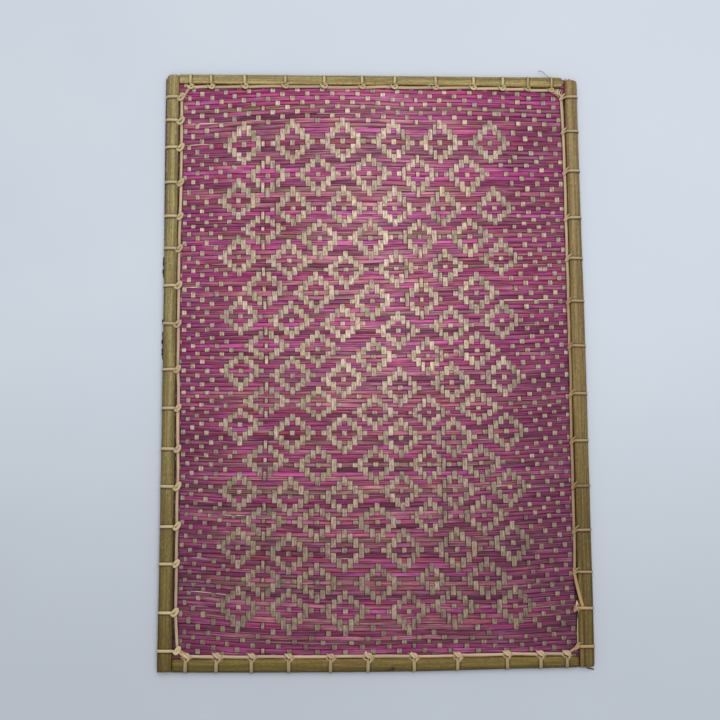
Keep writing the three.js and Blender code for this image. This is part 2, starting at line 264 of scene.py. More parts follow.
def over_chart():
    over = np.zeros((len(CS), len(RS)), bool)
    mids = []
    for j, (wefts, warps, xs, ys) in enumerate(DIAMONDS):
        for k, (r, c) in enumerate(zip(wefts, warps)):
            small = (j, k) == SMALL_DIAMOND
            mids.append((c, r))
            for dc, drs in (DIAMOND_SMALL if small else DIAMOND).items():
                for s in (dc, -dc):
                    for dr in drs:
                        over[c + s - WARP_FIRST, r + dr - WEFT_FIRST] = True

    def ground(c, r):
        """The five-end ground outside the diamonds, whose lines turn at some wefts."""
        if c <= -33:
            if r in (83, 95, 96, 98, 99) and c > -38:
                return c == {83: -36, 95: -36, 96: -34, 98: -35, 99: -33}[r]
            if 41 <= r <= 84:
                return (c + 2 * r) % 5 == 4
            return (c - 2 * r) % 5 == 3
        if c >= 22:
            if r == 29:
                return c in (29, 30, 34)
            if r == 30:
                return c in (25, 32)
            odd = {81: (27, 32), 82: (29, 34), 83: (25, 31), 94: (26, 33), 108: (26, 31), 109: (28, 33),
                   110: (23, 29, 34), 111: (25, 31)}
            if r in odd:
                return c in odd[r]
            if r <= -10 or r >= 112:
                return (c - 2 * r) % 5 == 3
            if r <= 3:
                return (c - 2 * r) % 5 == 4
            if r <= 28:
                return (c + 2 * r) % 5 == 2
            if r <= 80:
                return (c + 2 * r) % 5 == 0
            if r <= 93:
                return (c + 2 * r) % 5 == 1
            return (c + 2 * r) % 5 == 4
        return (c - 2 * r) % 5 == 3

    for c in CS:
        for r in RS:
            if ground(c, r) and min(abs(c - a) + abs(r - b) for a, b in mids) >= 7:
                over[c - WARP_FIRST, r - WEFT_FIRST] = True
    return over


OVER = over_chart()

# ---------------------------------------------------------------- ribbons


class Strips:
    """Collects closed strips of six-sided section into one mesh, with their colours."""

    def __init__(self):
        self.v, self.f, self.col, self.suv, self.n = [], [], [], [], 0
        self.sharp = [] if type(self) is Strips else None

    def add(self, centre, across, left, right, thick, tilt, rgb, seed, edge=0.2, under=None):
        """centre n×3 mm (u, v, z); across n×2 unit (du, dv); left/right half widths; rgb n×3."""
        n = len(centre)
        t = thick * 0.5
        e = np.minimum(edge, 0.35 * (left + right))
        a = np.stack([-left + e, right - e, right, right - 0.6 * e, -left + 0.6 * e, -left], 1)
        b = np.stack([t, t, -0.1 * t, -t, -t, -0.1 * t], 1) if np.ndim(t) else np.repeat(
            np.array([[t, t, -0.1 * t, -t, -t, -0.1 * t]]), n, 0)
        z = centre[:, 2:3] + b + tilt[:, None] * a
        x = centre[:, 0:1] + across[:, 0:1] * a
        y = centre[:, 1:2] + across[:, 1:2] * a
        seg = np.concatenate([[0], np.cumsum(np.hypot(np.diff(centre[:, 0]), np.diff(centre[:, 1])))])
        s = np.repeat(seg[:, None], 6, 1)
        self.v.append(np.stack([x, y, z], 2).reshape(-1, 3))
        side = (a - 0.5 * (right - left)[:, None]) / (0.5 * (right + left))[:, None]
        c4 = np.concatenate([np.repeat(rgb[:, None, :], 6, 1), side[:, :, None] * 0.5 + 0.5], 2)
        self.col.append(c4.reshape(-1, 4))
        self.suv.append(np.stack([s, a, np.full_like(s, seed)], 2).reshape(-1, 3))
        if isinstance(self.sharp, list):
            for q in range(6):
                self.sharp.append((self.n + q, 6, n))
        k = np.arange(n - 1)[:, None] * 6
        j = np.arange(6)[None, :]
        j2 = (j + 1) % 6
        quads = np.stack([k + j, k + j2, k + 6 + j2, k + 6 + j], 2).reshape(-1, 4) + self.n
        self.f.extend(quads.tolist())
        self.f.append([self.n + i for i in (5, 4, 3, 2, 1, 0)])
        self.f.append([self.n + (n - 1) * 6 + i for i in range(6)])
        self.n += 6 * n

    def build(self, name, material, smooth=True):
        v = np.concatenate(self.v)
        xyz = np.stack([(v[:, 0] + OX) * MM, (OY - v[:, 1]) * MM, v[:, 2] * MM], 1)
        me = bpy.data.meshes.new(name)
        me.from_pydata(xyz.tolist(), [], self.f)
        me.validate()
        col = me.attributes.new("col", "FLOAT_COLOR", "POINT")
        c = np.concatenate(self.col)
        col.data.foreach_set("color", c.ravel())
        suv = me.attributes.new("suv", "FLOAT_VECTOR", "POINT")
        suv.data.foreach_set("vector", np.concatenate(self.suv).ravel())
        me.polygons.foreach_set("use_smooth", [smooth] * len(me.polygons))
        if self.sharp:
            # flat across, smooth along: an edge that runs along a strip is sharp
            ev = np.empty(len(me.edges) * 2, int)
            me.edges.foreach_get("vertices", ev)
            ev = ev.reshape(-1, 2)
            flag = np.abs(ev[:, 0] - ev[:, 1]) == 6
            at = me.attributes.new("sharp_edge", "BOOLEAN", "EDGE")
            at.data.foreach_set("value", flag)
        ob = bpy.data.objects.new(name, me)
        bpy.context.scene.collection.objects.link(ob)
        me.materials.append(material)
        import bmesh
        bm = bmesh.new()
        bm.from_mesh(me)
        bmesh.ops.recalc_face_normals(bm, faces=bm.faces)
        bm.to_mesh(me)
        bm.free()
        return ob


def catmull(p, n):
    """A smooth curve through the rows of p, n steps a span."""
    p = np.asarray(p, float)
    q = np.concatenate([[2 * p[0] - p[1]], p, [2 * p[-1] - p[-2]]])
    out = []
    for i in range(1, len(q) - 2):
        a, b, c, d = q[i - 1:i + 3]
        for f in np.arange(n) / n:
            out.append(0.5 * (2 * b + (c - a) * f + (2 * a - 5 * b + 4 * c - d) * f ** 2 + (3 * b - a - 3 * c + d) * f ** 3))
    out.append(p[-1])
    return np.array(out)


def linear(rgb):
    c = np.asarray(rgb, float) / 255.0
    return np.where(c <= 0.04045, c / 12.92, ((c + 0.055) / 1.055) ** 2.4)


# ---------------------------------------------------------------- where the lashing lies
# where each loop crosses its rail, and how far in its knot sits (s, t), mm
LOOPS = {
    "left": ((17.0, 10.9), (35.1, 10.9), (55.2, 11.0), (81.6, 11.2), (107.0, 11.0), (130.8, 11.3), (157.9, 11.1),
             (186.1, 10.9), (218.8, 11.2), (246.7, 11.9), (275.8, 12.1), (302.4, 12.3), (330.2, 12.4), (356.2, 12.2),
             (389.8, 11.8), (415.8, 13.8)),
    "right": ((13.8, 11.8), (40.0, 11.3), (70.7, 11.1), (106.1, 11.25), (136.3, 11.1), (168.1, 11.2), (201.0, 11.0),
              (236.0, 11.2), (270.1, 11.4), (302.6, 11.3), (333.9, 11.4), (363.0, 11.8), (388.3, 11.5), (415.0, 11.7)),
    "top": ((17.3, 8.9), (32.6, 8.7), (57.3, 8.3), (87.0, 7.6), (115.7, 7.3), (143.8, 7.5), (167.8, 7.2), (198.4, 7.5),
            (226.6, 7.25), (248.4, 7.4), (267.1, 7.7), (285.0, 8.6)),
    "bottom": ((19.2, 10.7), (40.4, 10.6), (64.6, 10.4), (90.3, 10.0), (119.5, 9.7), (145.8, 9.8), (177.6, 9.4),
               (208.4, 9.2), (243.0, 9.3), (266.7, 9.0), (285.4, 8.9)),
}
LOOPS["left"] = tuple((a, b - (0.30 if a > 120 else -0.1)) for a, b in LOOPS["left"])
LOOPS["right"] = tuple((a, b + (0.6 if a < 45 or a > 380 else 0.25)) for a, b in LOOPS["right"])
LOOPS["top"] = tuple((a, b - 0.35) for a, b in LOOPS["top"])
LOOPS["bottom"] = tuple((a, b + float(np.interp(a, (10, 50, 170, 210, 240, 290), (-0.2, -0.6, -0.5, 0.2, 0.9, 1.1))))
                        for a, b in LOOPS["bottom"])
STRIP_WIDTH = {"left": 2.25, "right": 2.25, "top": 2.4, "bottom": 2.5}
LOOP_WIDTH = {"left": 2.2, "right": 1.9, "top": 2.05, "bottom": 2.6}


# ---------------------------------------------------------------- materials


def nodes_of(name):
    m = bpy.data.materials.new(name)
    m.use_nodes = True
    nt = m.node_tree
    nt.nodes.clear()
    out = nt.nodes.new("ShaderNodeOutputMaterial")
    bsdf = nt.nodes.new("ShaderNodeBsdfPrincipled")
    nt.links.new(bsdf.outputs[0], out.inputs[0])
    return m, nt, bsdf


class G:
    """Small helper that makes shader nodes and joins them."""

    def __init__(self, nt):
        self.nt = nt

    def put(self, sock, val):
        if hasattr(val, "is_output") or isinstance(val, bpy.types.NodeSocket):
            self.nt.links.new(val, sock)
        else:
            sock.default_value = val

    def math(self, op, a, b=None, c=None, clamp=False):
        n = self.nt.nodes.new("ShaderNodeMath")
        n.operation = op
        n.use_clamp = clamp
        self.put(n.inputs[0], a)
        if b is not None:
            self.put(n.inputs[1], b)
        if c is not None:
            self.put(n.inputs[2], c)
        return n.outputs[0]

    def vec(self, x, y, z):
        n = self.nt.nodes.new("ShaderNodeCombineXYZ")
        for s, v in zip(n.inputs, (x, y, z)):
            self.put(s, v)
        return n.outputs[0]

    def noise(self, vector, scale=1.0, detail=3.0, rough=0.55, dist=0.0):
        n = self.nt.nodes.new("ShaderNodeTexNoise")
        self.put(n.inputs["Vector"], vector)
        n.inputs["Scale"].default_value = scale
        n.inputs["Detail"].default_value = detail
        n.inputs["Roughness"].default_value = rough
        n.inputs["Distortion"].default_value = dist
        return n.outputs[0]

    def ramp(self, fac, *stops):
        n = self.nt.nodes.new("ShaderNodeValToRGB")
        self.put(n.inputs[0], fac)
        el = n.color_ramp.elements
        while len(el) < len(stops):
            el.new(0.5)
        for e, (p, c) in zip(el, stops):
            e.position = p
            e.color = (*c, 1) if len(c) == 3 else c
        return n.outputs[0]

    def step(self, x, lo, hi, a=0.0, b=1.0):
        n = self.nt.nodes.new("ShaderNodeMapRange")
        n.interpolation_type = "SMOOTHSTEP"
        self.put(n.inputs["Value"], x)
        n.inputs["From Min"].default_value = lo
        n.inputs["From Max"].default_value = hi
        n.inputs["To Min"].default_value = a
        n.inputs["To Max"].default_value = b
        return n.outputs[0]

    def mix(self, fac, a, b, mode="MIX"):
        n = self.nt.nodes.new("ShaderNodeMix")
        n.data_type = "RGBA"
        n.blend_type = mode
        self.put(n.inputs[0], fac)
        self.put(n.inputs[6], a)
        self.put(n.inputs[7], b)
        return n.outputs[2]

    def attr(self, name):
        n = self.nt.nodes.new("ShaderNodeAttribute")
        n.attribute_name = name
        return n

    def split(self, v):
        n = self.nt.nodes.new("ShaderNodeSeparateXYZ")
        self.put(n.inputs[0], v)
        return n.outputs

    def bump(self, height, strength, dist):
        n = self.nt.nodes.new("ShaderNodeBump")
        n.inputs["Strength"].default_value = strength
        n.inputs["Distance"].default_value = dist
        self.put(n.inputs["Height"], height)
        return n.outputs[0]


def painted_shade_under_rails(g):
    """Mask of painted shade: 0 on the open weave, 1 under the rails and the running strips, with a short fade inside
    them.
    """
    nt = g.nt
    tc = nt.nodes.new("ShaderNodeTexCoord")
    x, y, z = g.split(tc.outputs["Object"])
    u = g.math("MULTIPLY_ADD", x, 1000.0, -OX)
    v = g.math("MULTIPLY_ADD", y, -1000.0, OY)
    out = None
    for side, along, inward, length, half, fade in (
            ("left", v, u, 430.0, 1.2, 1.05), ("right", v, g.math("SUBTRACT", 305.0, u), 430.0, 1.05, 1.15),
            ("top", u, v, 305.0, 1.15, 1.25), ("bottom", u, g.math("SUBTRACT", 430.0, v), 305.0, 1.2, 0.6)):
        n = nt.nodes.new("ShaderNodeFloatCurve")
        g.put(n.inputs["Value"], g.math("DIVIDE", along, length))
        n.inputs["Factor"].default_value = 1.0
        curve = n.mapping.curves[0]
        rows = [(p, q - (1.6 if side == "right" and p > 385 else 0.0)) for p, q in LOOPS[side]]
        stops = [(0.0, rows[0][1])] + [(a / length, b) for a, b in rows] + [(1.0, rows[-1][1])]
        while len(curve.points) < len(stops):
            curve.points.new(0.5, 0.5)
        for p, (a, b) in zip(curve.points, stops):
            p.location = (a, b / 20.0)
            p.handle_type = "VECTOR"
        n.mapping.update()
        d = g.math("SUBTRACT", inward, g.math("MULTIPLY_ADD", n.outputs[0], 20.0, half))
        k = g.step(d, fade, 0.0, 0.0, 1.0)
        ends = g.math("MULTIPLY", g.step(along, rows[0][0] - 3.5, rows[0][0] - 0.5),
                      g.step(along, rows[-1][0] + 3.5, rows[-1][0] + 0.5))
        k = g.math("MULTIPLY", k, g.math("MULTIPLY_ADD", ends, 0.8, 0.2))
        out = k if out is None else g.math("MAXIMUM", out, k)
    return out


def weft_material():
    m, nt, b = nodes_of("dyed bamboo strip")
    g = G(nt)
    at = g.attr("col")
    col, edge = at.outputs["Color"], at.outputs["Alpha"]
    s, a, k = g.split(g.attr("suv").outputs["Vector"])
    streak = g.noise(g.vec(g.math("MULTIPLY", s, 0.022), g.math("MULTIPLY", a, 0.85), g.math("MULTIPLY", k, 17.3)),
                     1.0, 4.0, 0.66)
    thread = g.noise(g.vec(g.math("MULTIPLY", s, 0.05), g.math("MULTIPLY", a, 2.3), g.math("MULTIPLY", k, 5.3)),
                     1.0, 3.0, 0.6)
    blotch = g.noise(g.vec(g.math("MULTIPLY", s, 0.055), g.math("MULTIPLY", a, 0.4), g.math("MULTIPLY", k, 7.9)),
                     1.0, 3.0, 0.6)
    # darker and lighter fibres, then dye that took less in places
    tone = g.step(streak, 0.41, 0.60, 0.54, 1.36)
    c = g.mix(1.0, col, g.vec(tone, tone, tone), "MULTIPLY")
    t2 = g.step(thread, 0.40, 0.60, 0.70, 1.30)
    c = g.mix(1.0, c, g.vec(t2, t2, t2), "MULTIPLY")
    bare = g.noise(g.vec(g.math("MULTIPLY", s, 0.028), g.math("MULTIPLY", a, 1.0), g.math("MULTIPLY_ADD", k, 9.1, 30.0)),
                   1.0, 3.0, 0.6)
    lift = g.math("MULTIPLY", g.step(bare, 0.505, 0.60, 0.0, 0.95), g.step(blotch, 0.40, 0.56, 0.25, 0.95))
    c = g.mix(lift, c, g.mix(1.0, g.mix(1.0, col, (1.25, 1.50, 1.36, 1), "MULTIPLY"), (0.095, 0.060, 0.100, 1), "ADD"))
    dark = g.math("MULTIPLY", g.step(bare, 0.47, 0.39, 0.0, 0.85), g.step(thread, 0.60, 0.42, 0.3, 1.0))
    c = g.mix(dark, c, g.mix(1.0, col, (0.40, 0.16, 0.34, 1), "MULTIPLY"))
    # where two strips meet: mostly a thin dark line of painted shade, here and there a paler sliver
    d = g.math("ABSOLUTE", g.math("MULTIPLY_ADD", edge, 2.0, -1.0))
    gapn = g.noise(g.vec(g.math("MULTIPLY", s, 0.05), g.math("MULTIPLY", edge, 1.5), g.math("MULTIPLY", k, 3.3)), 1.0, 2.0, 0.5)
    line = g.math("MULTIPLY", g.step(d, 0.70, 0.96, 0.0, 1.0), g.step(gapn, 0.38, 0.56, 0.1, 1.0))
    c = g.mix(line, c, g.mix(1.0, col, (0.34, 0.10, 0.24, 1), "MULTIPLY"))
    pale = g.math("MULTIPLY", g.step(d, 0.66, 0.84, 0.0, 1.0), g.step(gapn, 0.36, 0.29, 0.0, 0.8))
    c = g.mix(pale, c, g.mix(1.0, g.mix(1.0, col, (1.2, 2.4, 1.3, 1), "MULTIPLY"), (0.10, 0.11, 0.10, 1), "ADD"))
    hue = g.noise(g.vec(g.math("MULTIPLY", s, 0.085), g.math("MULTIPLY", a, 0.42), g.math("MULTIPLY_ADD", k, 3.7, 90.0)),
                  1.0, 3.0, 0.6)
    c = g.mix(1.0, c, g.mix(g.step(hue, 0.47, 0.60, 0.0, 1.0), (1, 1, 1, 1), (1.02, 1.30, 0.82, 1)), "MULTIPLY")
    c = g.mix(1.0, c, g.mix(g.step(hue, 0.46, 0.38, 0.0, 1.0), (1, 1, 1, 1), (0.96, 0.86, 1.12, 1)), "MULTIPLY")
    # painted shade under and beside the rails and the running strips
    rail_shade = painted_shade_under_rails(g)
    c = g.mix(g.math("MULTIPLY", rail_shade, 0.80), c, g.mix(1.0, col, (0.12, 0.05, 0.06, 1), "MULTIPLY"))
    nt.links.new(c, b.inputs["Base Color"])
    b.inputs["Roughness"].default_value = 0.46
    b.inputs["Specular IOR Level"].default_value = 0.3
    round_ = g.math("MULTIPLY", g.math("MULTIPLY", d, d), -0.35)
    h = g.math("ADD", g.math("ADD", streak, g.math("MULTIPLY", thread, 0.6)), round_)
    nt.links.new(g.bump(h, 0.6, 0.0003), b.inputs["Normal"])
    return m


def warp_material():
    m, nt, b = nodes_of("natural bamboo strip")
    g = G(nt)
    at = g.attr("col")
    col, edge = at.outputs["Color"], at.outputs["Alpha"]
    s, a, k = g.split(g.attr("suv").outputs["Vector"])
    streak = g.noise(g.vec(g.math("MULTIPLY", s, 0.05), g.math("MULTIPLY", a, 0.85), g.math("MULTIPLY", k, 11.3)),
                     1.0, 4.0, 0.66)
    thread = g.noise(g.vec(g.math("MULTIPLY", s, 0.09), g.math("MULTIPLY", a, 2.4), g.math("MULTIPLY", k, 2.9)),
                     1.0, 3.0, 0.6)
    blotch = g.noise(g.vec(g.math("MULTIPLY", s, 0.13), g.math("MULTIPLY", a, 0.3), g.math("MULTIPLY", k, 5.7)),
                     1.0, 3.0, 0.6)
    tone = g.step(streak, 0.41, 0.60, 0.74, 1.22)
    c = g.mix(1.0, col, g.vec(tone, tone, tone), "MULTIPLY")
    t2 = g.step(thread, 0.41, 0.60, 0.84, 1.14)
    c = g.mix(1.0, c, g.vec(t2, t2, t2), "MULTIPLY")
    d = g.math("ABSOLUTE", g.math("MULTIPLY_ADD", edge, 2.0, -1.0))
    # a grey-green middle, paler and pinker towards the edges
    mott = g.noise(g.vec(g.math("MULTIPLY", s, 0.30), g.math("MULTIPLY", a, 0.55), g.math("MULTIPLY_ADD", k, 4.1, 60.0)),
                   1.0, 3.0, 0.65)
    green = g.math("MULTIPLY", g.step(blotch, 0.42, 0.58, 0.05, 0.85), g.step(d, 0.95, 0.25, 0.1, 1.0))
    c = g.mix(green, c, g.mix(1.0, col, (0.74, 0.90, 0.56, 1), "MULTIPLY"))
    rim = g.math("MULTIPLY", g.step(d, 0.15, 0.62, 0.0, 0.8), g.step(blotch, 0.60, 0.42, 0.2, 1.0))
    c = g.mix(rim, c, g.mix(1.0, col, (1.20, 1.06, 1.20, 1), "MULTIPLY"))
    dull = g.step(mott, 0.50, 0.38, 0.0, 0.9)
    c = g.mix(dull, c, g.mix(1.0, col, (0.60, 0.48, 0.56, 1), "MULTIPLY"))
    bright = g.step(mott, 0.52, 0.62, 0.0, 0.8)
    c = g.mix(bright, c, g.mix(1.0, col, (1.22, 1.24, 1.30, 1), "MULTIPLY"))
    # a thin dark line of painted shade along each edge
    line = g.math("MULTIPLY", g.step(d, 0.84, 1.0, 0.0, 1.0), 0.7)
    c = g.mix(line, c, g.mix(1.0, col, (0.60, 0.34, 0.42, 1), "MULTIPLY"))
    # painted shade under and beside the rails and the running strips
    rail_shade = painted_shade_under_rails(g)
    c = g.mix(g.math("MULTIPLY", rail_shade, 0.72), c, g.mix(1.0, col, (0.16, 0.10, 0.09, 1), "MULTIPLY"))
    nt.links.new(c, b.inputs["Base Color"])
    b.inputs["Roughness"].default_value = 0.46
    b.inputs["Specular IOR Level"].default_value = 0.3
    round_ = g.math("MULTIPLY", g.math("MULTIPLY", d, d), -0.35)
    nt.links.new(g.bump(g.math("ADD", g.math("ADD", streak, g.math("MULTIPLY", thread, 0.6)), round_), 0.55, 0.0003),
                 b.inputs["Normal"])
    return m


# ---------------------------------------------------------------- the panel
STRIP = 0.40   # strips' thickness
RISE = 0.21   # how far a strip's middle lies above or below the weave's middle
RAMP = 0.42


def half_gap(seed, x):
    return np.maximum(0.065 + wobble(seed, x, 23.0, 0.05) + wobble(seed + 999, x, 6.0, 0.06), 0.01)


def tone_and_painted_glare(u, v):
    """Darker towards the bottom and a little towards the right side; its middle is a little paler, a painted highlight.
    """
    down = np.interp(v, (0, 150, 215, 265, 320, 380, 430), (1.03, 1.0, 0.935, 0.86, 0.765, 0.665, 0.59))
    return down * (1 + 0.16 * np.exp(-((u - 158) / 44.0) ** 2) - 0.09 * np.clip((u - 225) / 60.0, 0, 1))


def weft_path(r):
    j = r - WEFT_FIRST
    pts = []
    for i in range(len(CS)):
        over_here = OVER[i, j]
        z = -RISE if over_here else RISE
        left_flip = i > 0 and OVER[i - 1, j] != over_here
        right_flip = i < len(CS) - 1 and OVER[i + 1, j] != over_here
        if left_flip:
            pts.append((i - 0.5, RAMP, z, 0))
        if i in (0, len(CS) - 1) or i % 2 == 0:
            pts.append((float(i), 0.0, z, 0))
        if right_flip:
            pts.append((i + 0.5, -RAMP, z, 0))
            # a ring halfway down the ramp, flagged for painted shade
            pts.append((i + 0.5, 0.0, 0.0, 1))
    idx = np.array([p[0] for p in pts])
    du = np.array([p[1] for p in pts])
    z = np.array([p[2] for p in pts])
    mid = np.array([p[3] for p in pts], float)
    ii = np.arange(len(CS), dtype=float)
    u = np.interp(idx, ii, U[:, j]) + du
    order = np.argsort(u, kind="stable")
    u, z, mid = u[order], z[order], mid[order]
    # ends run a little past the outermost warps
    e0 = 1.2 + wobble(81, np.array([r * 1.0]), 0.31, 0.5)[0]
    e1 = 1.2 + wobble(82, np.array([r * 1.0]), 0.31, 0.5)[0]
    u0, u1 = ENDS.get(r, (max(u[0] - e0, 0.5), min(u[-1] + e1, 303.5)))
    u = np.concatenate([[u0 if u0 is not None else max(u[0] - e0, 0.5)], u,
                        [u1 if u1 is not None else min(u[-1] + e1, 303.5)]])
    z = np.concatenate([[z[0]], z, [z[-1]]])
    mid = np.concatenate([[0], mid, [0]])
    v = np.interp(u, U[:, j], V[:, j])
    up = np.interp(u, U[:, j], V[:, j] - V[:, j - 1]) * 0.5 if j > 0 else np.full(len(u), 1.4)
    dn = np.interp(u, U[:, j], V[:, j + 1] - V[:, j]) * 0.5 if j < len(RS) - 1 else np.full(len(u), 1.4)
    slope = np.gradient(v, u)
    ln = np.hypot(1, slope)
    across = np.stack([slope / ln, -1 / ln], 1)  # points up the mat
    return u, v, z, mid, up, dn, across


def weft_colour(r, u, v):
    """The strip's dye, going over to another along its length, deeper near the sides, with a painted highlight across
    the middle of the upper part.
    """
    j = r - WEFT_FIRST
    base = linear(DYE_RGB[(DYES_ABOVE + DYES)[j]])
    other = linear(DYE_RGB["MDKMPBODMR"[(r * 7) % 10]])
    f = np.clip(0.5 + wobble(r + 4000, u, 62.0, 1.3), 0, 1)[:, None] * 0.55
    c = base[None, :] * (1 - f) + other[None, :] * f
    side = np.clip(1 - np.minimum((u - 12) / 46.0, (296 - u) / 88.0), 0, 1)[:, None]
    deep = linear((140, 36, 98))[None, :]
    side = side * np.interp(v, (0, 140, 200, 430), (0.5, 0.6, 0.85, 0.75))[:, None]
    c = c * (1 - side) + deep * side
    # paler across the middle of the upper part: painted highlight
    pale = (0.15 * np.exp(-((u - 160) / 48.0) ** 2) * np.clip((310 - v) / 110.0, 0, 1))[:, None]
    c = c * (1 - pale) + linear((206, 158, 184))[None, :] * pale
    c = c * (1 + wobble(r + 4100, u, 25.0, 0.14))[:, None]
    c = c * (1 - 0.13 * side * np.clip((v - 165) / 60.0, 0, 1)[:, None])
    return c * 0.99 * tone_and_painted_glare(u, v)[:, None]


# wefts whose ends show past the rails, and how far (left end, right end), mm; None where they stop as the rest
ENDS = {}
for _r in range(WEFT_FIRST, WEFT_LAST + 1):
    _v = V[0, _r - WEFT_FIRST]
    for _a, _b, _past in ((138.0, 152.0, -0.75), (181.5, 186.0, -0.6), (191.0, 210.5, -0.7)):
        if _a < _v < _b:
            ENDS[_r] = (_past + 0.35 * math.sin(_r * 2.4), None)


def loose_bits(strips):
    """Split ends of strips that show past the rails at two corners."""
    for k, (p, w, c) in enumerate((
            (((292.6, 1.4), (296.0, 0.9), (299.5, 0.2), (301.6, -0.1)), 0.55, (178, 92, 128)),
            (((293.2, 0.2), (295.2, -0.5), (297.4, -1.0)), 0.4, (196, 120, 146)),
            (((296.5, 0.4), (298.6, -0.6), (299.8, -1.3)), 0.35, (150, 60, 92)),
            (((298.0, 1.0), (301.0, 0.4), (303.2, 0.6)), 0.45, (186, 112, 134)),
            (((293.0, 429.0), (297.0, 429.5), (302.6, 429.7)), 0.4, (196, 176, 150)),
            (((299.6, 429.9), (302.4, 430.5), (305.3, 431.2)), 0.5, (82, 26, 62)))):
        q = catmull([(a, b, 0.0) for a, b in p], 4)
        d = np.gradient(q[:, :2], axis=0)
        d /= np.linalg.norm(d, axis=1)[:, None]
        n = len(q)
        half = np.full(n, w)
        half[0] *= 0.6
        half[-1] *= 0.35
        q[:, 2] = 1.35 + 0.05 * k if k < 4 else 0.8
        strips[0 if k < 4 else 1].add(q, np.stack([d[:, 1], -d[:, 0]], 1), half, half, 0.3, np.zeros(n),
                                      np.repeat(linear(c)[None, :], n, 0), 900.0 + k, edge=0.08)


def weft_strips(rows, strips):
    for r in rows:
        u, v, z, mid, up, dn, across = weft_path(r)
        up = np.clip(up - half_gap(r * 2, u), 0.7, 2.6)
        dn = np.clip(dn - half_gap(r * 2 + 2, u), 0.7, 2.6)
        zc = Z_PANEL + z + wobble(r + 300, u, 31.0, 0.02)
        tilt = wobble(r + 700, u, 40.0, 0.04) + wobble(r + 760, u, 12.0, 0.02)
        # painted shade: rings halfway down a ramp and stretches under a warp are darkened, for the shadow in the gaps
        tone = (1 - 0.66 * mid) * np.where((z < 0) & (mid == 0), 0.42, 1.0)
        strips.add(np.stack([u, v, zc], 1), across, dn, up, STRIP, tilt,
                   weft_colour(r, u, v) * tone[:, None], r * 1.0, edge=0.13)


# pale slivers that show along the upper edge of a weft, and dark ones that are painted shade in the gap there: (weft,
# from, to), mm from the left
def slivers():
    out = []
    for v, u0, u1 in ((35.0, 12.0, 56.0), (53.0, 12.0, 33.0), (159.0, 14.0, 28.0), (134.5, 13.5, 23.0), (137.0, 281.0, 289.0),
                      (167.2, 239.0, 290.0), (128.0, 26.0, 48.0), (150.0, 196.0, 214.0), (322.0, 40.0, 62.0),
                      (351.0, 20.0, 44.0), (377.0, 18.0, 52.0), (385.0, 20.0, 40.0), (303.0, 226.0, 250.0), (262.0, 60.0, 88.0)):
        i = int(np.argmin(np.abs(U[:, 60] - 0.5 * (u0 + u1))))
        out.append((int(RS[np.argmin(np.abs(V[i] - 1.5 - v))]), u0, u1, 0.30, (226, 204, 186)))
    rng = np.random.default_rng(77)
    for _ in range(64):
        r = int(rng.integers(-8, 112))
        u0 = rng.uniform(13, 262)
        pale = rng.uniform() < 0.55
        # a dark sliver is painted shade in the gap above the weft
        c = (214, 176, 178) if pale else (70, 18, 40)
        out.append((r, u0, u0 + rng.uniform(10, 42), rng.uniform(0.14, 0.26) if pale else rng.uniform(0.2, 0.34), c))
    return out


def sliver_strips(strips):
    for k, (r, u0, u1, half, c) in enumerate(slivers()):
        u, v, z, mid, up, dn, across = weft_path(r)
        keep = (u > u0) & (u < u1)
        if keep.sum() < 4:
            continue
        u, v, z, up, across = u[keep], v[keep], z[keep], up[keep], across[keep]
        n = len(u)
        at = up - half_gap(r * 2, u) - 0.25
        taper = np.clip(np.minimum(u - u0, u1 - u) / 6.0, 0.35, 1.0)
        h = half * taper
        centre = np.stack([u + across[:, 0] * at, v + across[:, 1] * at,
                           Z_PANEL + z + STRIP * 0.5 + 0.02], 1)
        strips[0 if r < half_row else 1].add(centre, across, h, h, 0.10, np.zeros(n),
                                             linear(c)[None, :] * (tone_and_painted_glare(u, v) * (1 + wobble(k, u, 4.0, 0.2)))[:, None],
                                             1200.0 + k, edge=0.04)


